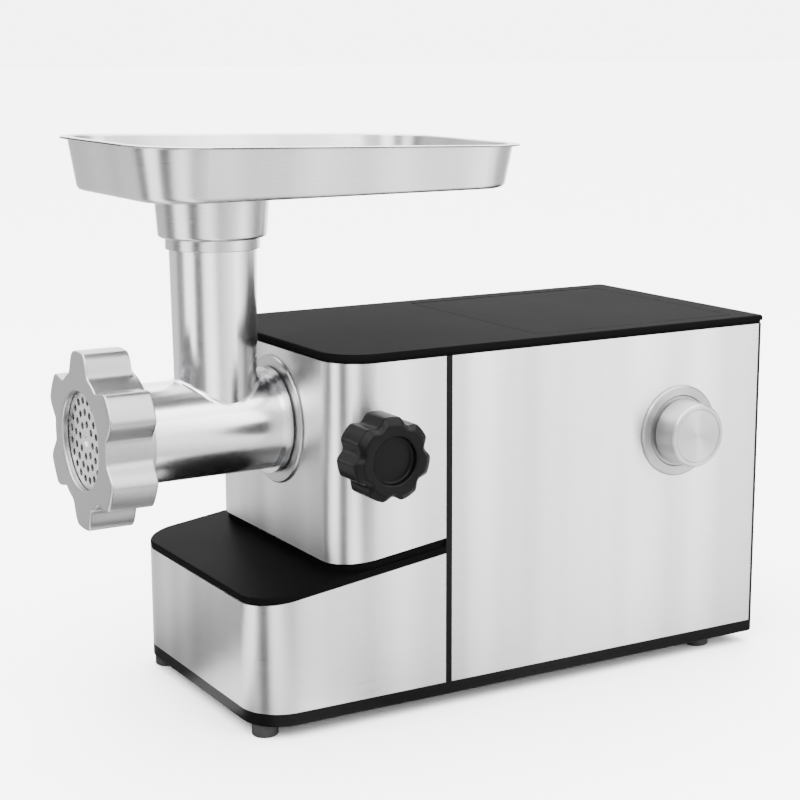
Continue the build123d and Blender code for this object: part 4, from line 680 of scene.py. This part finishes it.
class GRINDER_OT_lock_knob(bpy.types.Operator):
    """Lobed lock knob with a round recess and a hub"""

    bl_idname = "grinder.lock_knob"
    bl_label = "Lock knob"

    def execute(self, context):
        knob = context.scene.grinder_lock
        low = knob.grip - knob.notch
        path = rounded_path(
            [
                (knob.front + knob.recess_depth, 0, 0),
                (knob.front + knob.recess_depth, knob.recess, 0),
                (knob.front + RECESS_LIP, knob.recess, 0),
                (knob.front, low - FACE_IN, FACE_SHARE * knob.notch),
                (knob.front + SHOULDER, low, knob.notch),
                (knob.back - BACK_BEVEL, low, knob.notch),
                (knob.back, low - BACK_BEVEL, BACK_SHARE * knob.notch),
                (knob.back, knob.hub, 0),
                (knob.hub_back, knob.hub, 0),
                (knob.hub_back, 0, 0),
            ],
            GRIP_ROUNDING,
        )

        def lobe(angle):
            """0 in a notch, rising along 3 v^2 - 2 v^3 to 1 on the lobes."""
            first = np.pi / 2 + np.pi / knob.lobes
            return smooth_step((from_nearest(angle, knob.lobes, first) - NOTCH_FLAT) / NOTCH_FLANK)

        piece = turned("lock_knob_grip", path, "Y", (knob.x, 0, knob.z), "lock_plastic", lobe, 252, False)
        stands_for(piece, "lock_knob", "lock_plastic", "lock_knob")
        return {"FINISHED"}


DISH, DISH_IN, DISH_EDGE = 0.0003, 0.0034, 0.0030  # depth of the face's dish, and where it ends, in from the edge
FRONT_BEVEL = (0.0010, 0.0008)  # the knob's front bevel, along the axis and in from the edge
BACK_STEPS = ((0.0014, 0.0), (0.0006, 0.0008), (0.0002, 0.0020))  # the knob's back edge: before the back, in
SPINDLE_HOLE = 0.007
PLATE_STEP, PLATE_STEP_OUT = 0.0006, (0.0016, 0.0024)  # the plate's sunk middle: its depth, and past the knob
PLATE_BEVEL = 0.0010
RING_BEVEL = (0.0008, 0.0009)  # the barrel plate's bevel, along the axis and in from the edge
KNOB_ROUNDING = [0.0003, 0.0003, 0.0005, 0.0005, 0.0004, 0.0003, 0.0003]
PLATE_ROUNDING = [0.0002, 0.0002, 0.0003, 0.0003, 0.0004, 0.0004, 0.0002]
RING_ROUNDING = [0.0002, 0.0003, 0.0004, 0.0004, 0.0002]


class GRINDER_OT_control_knob(bpy.types.Operator):
    """Turned control knob, its plate, and the plate round the barrel"""

    bl_idname = "grinder.control_knob"
    bl_label = "Control knob and plates"

    def execute(self, context):
        knob = context.scene.grinder_control
        path = rounded_path(
            [
                (knob.front + DISH, 0),
                (knob.front + DISH, knob.front_radius - DISH_IN),
                (knob.front, knob.front_radius - DISH_EDGE),
                (knob.front, knob.front_radius - FRONT_BEVEL[1]),
                (knob.front + FRONT_BEVEL[0], knob.front_radius),
                *[(knob.back - along, knob.back_radius - inward) for along, inward in BACK_STEPS],
                (knob.back - BACK_STEPS[-1][0], 0),
            ],
            KNOB_ROUNDING,
        )
        centre = (knob.x, 0, knob.z)
        grip = turned("control_knob_grip", path, "Y", centre, "spun_knob", None, 144, False)
        stands_for(grip, "control_knob", "knob_metal", "control_knob")
        front = -knob.plate_width
        plate_path = closed_path(
            [
                (0, SPINDLE_HOLE),
                (front + PLATE_STEP, SPINDLE_HOLE),
                (front + PLATE_STEP, knob.back_radius + PLATE_STEP_OUT[0]),
                (front, knob.back_radius + PLATE_STEP_OUT[1]),
                (front, knob.plate - PLATE_BEVEL),
                (front + PLATE_BEVEL, knob.plate),
                (0, knob.plate),
            ],
            PLATE_ROUNDING,
        )
        plate = turned("control_knob_plate", plate_path, "Y", centre, "spun_plate", None, 144)
        stands_for(plate, "housing", "bezel_steel", "knob_bezel")
        nut = context.scene.grinder_nut
        width = -knob.head_plate_width
        ring_path = closed_path(
            [
                (0, knob.barrel),
                (width, knob.barrel),
                (width, knob.head_plate - RING_BEVEL[1]),
                (width + RING_BEVEL[0], knob.head_plate),
                (0, knob.head_plate),
            ],
            RING_ROUNDING,
        )
        ring = turned("barrel_plate", ring_path, "X", (0, nut.axis_y, nut.axis_z), "spun_barrel_plate", None, 168)
        stands_for(ring, "housing", "bezel_steel", "head_bezel")
        return {"FINISHED"}


# ---------------------------------------------------------------- stage
SURROUND = (
    (-180, 1.0), (-170, 1.0), (-165, 0.04), (-147, 0.04), (-140, 0.75), (-124, 1.0), (-106, 0.3), (-84, 0.5),
    (-64, 0.7), (-54, 1.0), (-20, 0.3), (20, 0.3), (38, 1.0), (82, 1.0), (96, 0.2), (112, 0.3), (132, 0.3),
    (146, 0.08), (162, 0.12), (169, 1.0), (180, 1.0),
)  # light all round, as (bearing from +X towards +Y in degrees, level)  # fmt: skip


def all_round(tree, vector):
    """The SURROUND level in the direction of a vector, by its bearing alone, and the vector's height."""
    split = tree.nodes.new("ShaderNodeSeparateXYZ")
    turn = tree.nodes.new("ShaderNodeMath")
    turn.operation = "ARCTAN2"
    share = tree.nodes.new("ShaderNodeMapRange")
    share.inputs["From Min"].default_value, share.inputs["From Max"].default_value = -math.pi, math.pi
    ramp = tree.nodes.new("ShaderNodeValToRGB")
    tree.links.new(vector, split.inputs[0])
    tree.links.new(split.outputs["Y"], turn.inputs[0])
    tree.links.new(split.outputs["X"], turn.inputs[1])
    tree.links.new(turn.outputs[0], share.inputs["Value"])
    tree.links.new(share.outputs["Result"], ramp.inputs["Fac"])
    stops = ramp.color_ramp.elements
    while len(stops) > 1:
        stops.remove(stops[-1])
    for k, (degrees, level) in enumerate(SURROUND):
        stop = stops[0] if k == 0 else stops.new((degrees + 180) / 360)
        stop.position, stop.color = (degrees + 180) / 360, (level, level, level, 1)
    return ramp.outputs["Color"], split.outputs["Z"]


LAMPS = (
    ("key", (-0.9, -1.1, 1.5), (0.1, 0.1, 0.12), (0.9, 0.9), 26),
    ("front", (1.2, -1.5, 0.9), (0.2, 0.0, 0.12), (1.0, 1.0), 18),
    ("top", (0.1, 0.3, 1.6), (0.1, 0.1, 0.1), (1.6, 1.2), 30),
)  # name, place and target in the maker's frame, size in metres, power in watts
SENSOR = 36.0  # the camera's sensor width, in millimetres
CLIP = (0.02, 50.0)  # the nearest and farthest that the camera sees
OVERHEAD_SPAN = (0.45, 0.8)  # heights on the unit sphere over which the level turns into the overhead one


def area_light(name, place, target, size, power):
    """A soft rectangular lamp at place, facing target, both in the maker's frame."""
    data = bpy.data.lights.new(name, "AREA")
    data.shape = "RECTANGLE"
    data.size, data.size_y = size
    data.energy = power
    lamp = bpy.data.objects.new(name, data)
    lamp.location = Vector(HOME + np.array(place))
    aim = Vector(np.array(target) - np.array(place))
    lamp.rotation_euler = aim.to_track_quat("-Z", "Y").to_euler()
    bpy.context.scene.collection.objects.link(lamp)


class GRINDER_OT_stage(bpy.types.Operator):
    """Floor, surrounding light, lamps and camera"""

    bl_idname = "grinder.stage"
    bl_label = "Stage"

    def execute(self, context):
        stage = context.scene.grinder_stage
        material, tree, shader = node_tree("pale_floor")
        # camera rays see the even pale floor, but glossy rays see it coloured by the surround's light and dark by
        # bearing: a painted reflection, so the metal mirrors bands of light and shade that the floor does not have
        mirrored = tree.nodes.new("ShaderNodeLightPath").outputs["Is Glossy Ray"]
        floor_or_painted_reflection = tree.nodes.new("ShaderNodeMix")
        floor_or_painted_reflection.data_type = "RGBA"
        floor_or_painted_reflection.inputs["A"].default_value = (*stage.floor_colour, 1)
        middle = HOME + np.array([stage.middle_x, stage.middle_y, 0])
        around, _ = all_round(tree, coordinates(tree, (1, 1, 1), middle))
        tree.links.new(tinted(tree, around, [c * stage.mirrored for c in stage.floor_colour], 0.0), floor_or_painted_reflection.inputs["B"])
        tree.links.new(mirrored, floor_or_painted_reflection.inputs["Factor"])
        tree.links.new(floor_or_painted_reflection.outputs["Result"], shader.inputs["Base Color"])
        shader.inputs["Roughness"].default_value = 0.9
        shader.inputs["Specular IOR Level"].default_value = 0.1
        half = stage.floor_size / 2
        mesh = bpy.data.meshes.new("floor")
        mesh.from_pydata([(-half, -half, 0), (half, -half, 0), (half, half, 0), (-half, half, 0)], [], [(0, 1, 2, 3)])
        mesh.materials.append(material)
        floor = bpy.data.objects.new("floor", mesh)
        context.scene.collection.objects.link(floor)

        world = bpy.data.worlds.new("studio")
        world.use_nodes = True
        nodes, links = world.node_tree.nodes, world.node_tree.links
        back = nodes["Background"]
        where = nodes.new("ShaderNodeTexCoord")
        around, upward = all_round(world.node_tree, where.outputs["Generated"])
        above = nodes.new("ShaderNodeMapRange")
        above.interpolation_type = "SMOOTHSTEP"
        above.inputs["From Min"].default_value, above.inputs["From Max"].default_value = OVERHEAD_SPAN
        links.new(upward, above.inputs["Value"])
        level = nodes.new("ShaderNodeMix")
        level.data_type = "FLOAT"
        level.inputs["B"].default_value = stage.overhead
        links.new(above.outputs["Result"], level.inputs["Factor"])
        links.new(around, level.inputs["A"])
        scaled = nodes.new("ShaderNodeMath")
        scaled.operation = "MULTIPLY"
        scaled.inputs[1].default_value = stage.world_strength
        links.new(level.outputs["Result"], scaled.inputs[0])
        links.new(scaled.outputs[0], back.inputs["Strength"])
        back.inputs["Color"].default_value = (1, 1, 1, 1)
        context.scene.world = world

        for lamp in LAMPS:
            area_light(*lamp)

        data = bpy.data.cameras.new("camera")
        data.lens, data.sensor_width = stage.lens, SENSOR
        data.clip_start, data.clip_end = CLIP
        camera = bpy.data.objects.new("camera", data)
        sight = Vector(
            (
                math.sin(stage.heading) * math.cos(stage.pitch),
                math.cos(stage.heading) * math.cos(stage.pitch),
                math.sin(stage.pitch),
            )
        )
        turn = sight.to_track_quat("-Z", "Y").to_matrix() @ Matrix.Rotation(stage.roll, 3, "Z")
        place = HOME + np.array([stage.camera_x, stage.camera_y, stage.camera_z])
        camera.matrix_world = Matrix.Translation(Vector(place)) @ turn.to_4x4()
        context.scene.collection.objects.link(camera)
        context.scene.camera = camera
        return {"FINISHED"}


# ---------------------------------------------------------------- add-on
class GRINDER_PT_panel(bpy.types.Panel):
    """The grinder's pieces in the sidebar"""

    bl_label = "Meat grinder"
    bl_idname = "GRINDER_PT_panel"
    bl_space_type = "VIEW_3D"
    bl_region_type = "UI"
    bl_category = "Grinder"

    def draw(self, context):
        for operator in OPERATORS:
            self.layout.operator(operator.bl_idname)
        for group in SETTINGS:
            box = self.layout.box()
            settings = getattr(context.scene, group)
            for name in SETTINGS[group].__annotations__:
                box.prop(settings, name)


SETTINGS = {
    "grinder_finish": FinishSettings,
    "grinder_tray": TraySettings,
    "grinder_nut": NutSettings,
    "grinder_lock": LockKnobSettings,
    "grinder_control": ControlKnobSettings,
    "grinder_stage": StageSettings,
}
OPERATORS = (
    GRINDER_OT_finishes,
    GRINDER_OT_works,
    GRINDER_OT_tray,
    GRINDER_OT_nut,
    GRINDER_OT_lock_knob,
    GRINDER_OT_control_knob,
    GRINDER_OT_stage,
)


def register():
    """Add the settings, operators and panel."""
    for cls in (*SETTINGS.values(), *OPERATORS, GRINDER_PT_panel):
        bpy.utils.register_class(cls)
    for name, group in SETTINGS.items():
        setattr(bpy.types.Scene, name, bpy.props.PointerProperty(type=group))


def unregister():
    """Take the settings, operators and panel away."""
    for name in SETTINGS:
        delattr(bpy.types.Scene, name)
    for cls in reversed((*SETTINGS.values(), *OPERATORS, GRINDER_PT_panel)):
        bpy.utils.unregister_class(cls)


def main():
    """Make every piece in order."""
    register()
    for operator in OPERATORS:
        group, name = operator.bl_idname.split(".")
        getattr(getattr(bpy.ops, group), name)()
    bpy.context.view_layer.update()


if __name__ == "__main__":
    main()
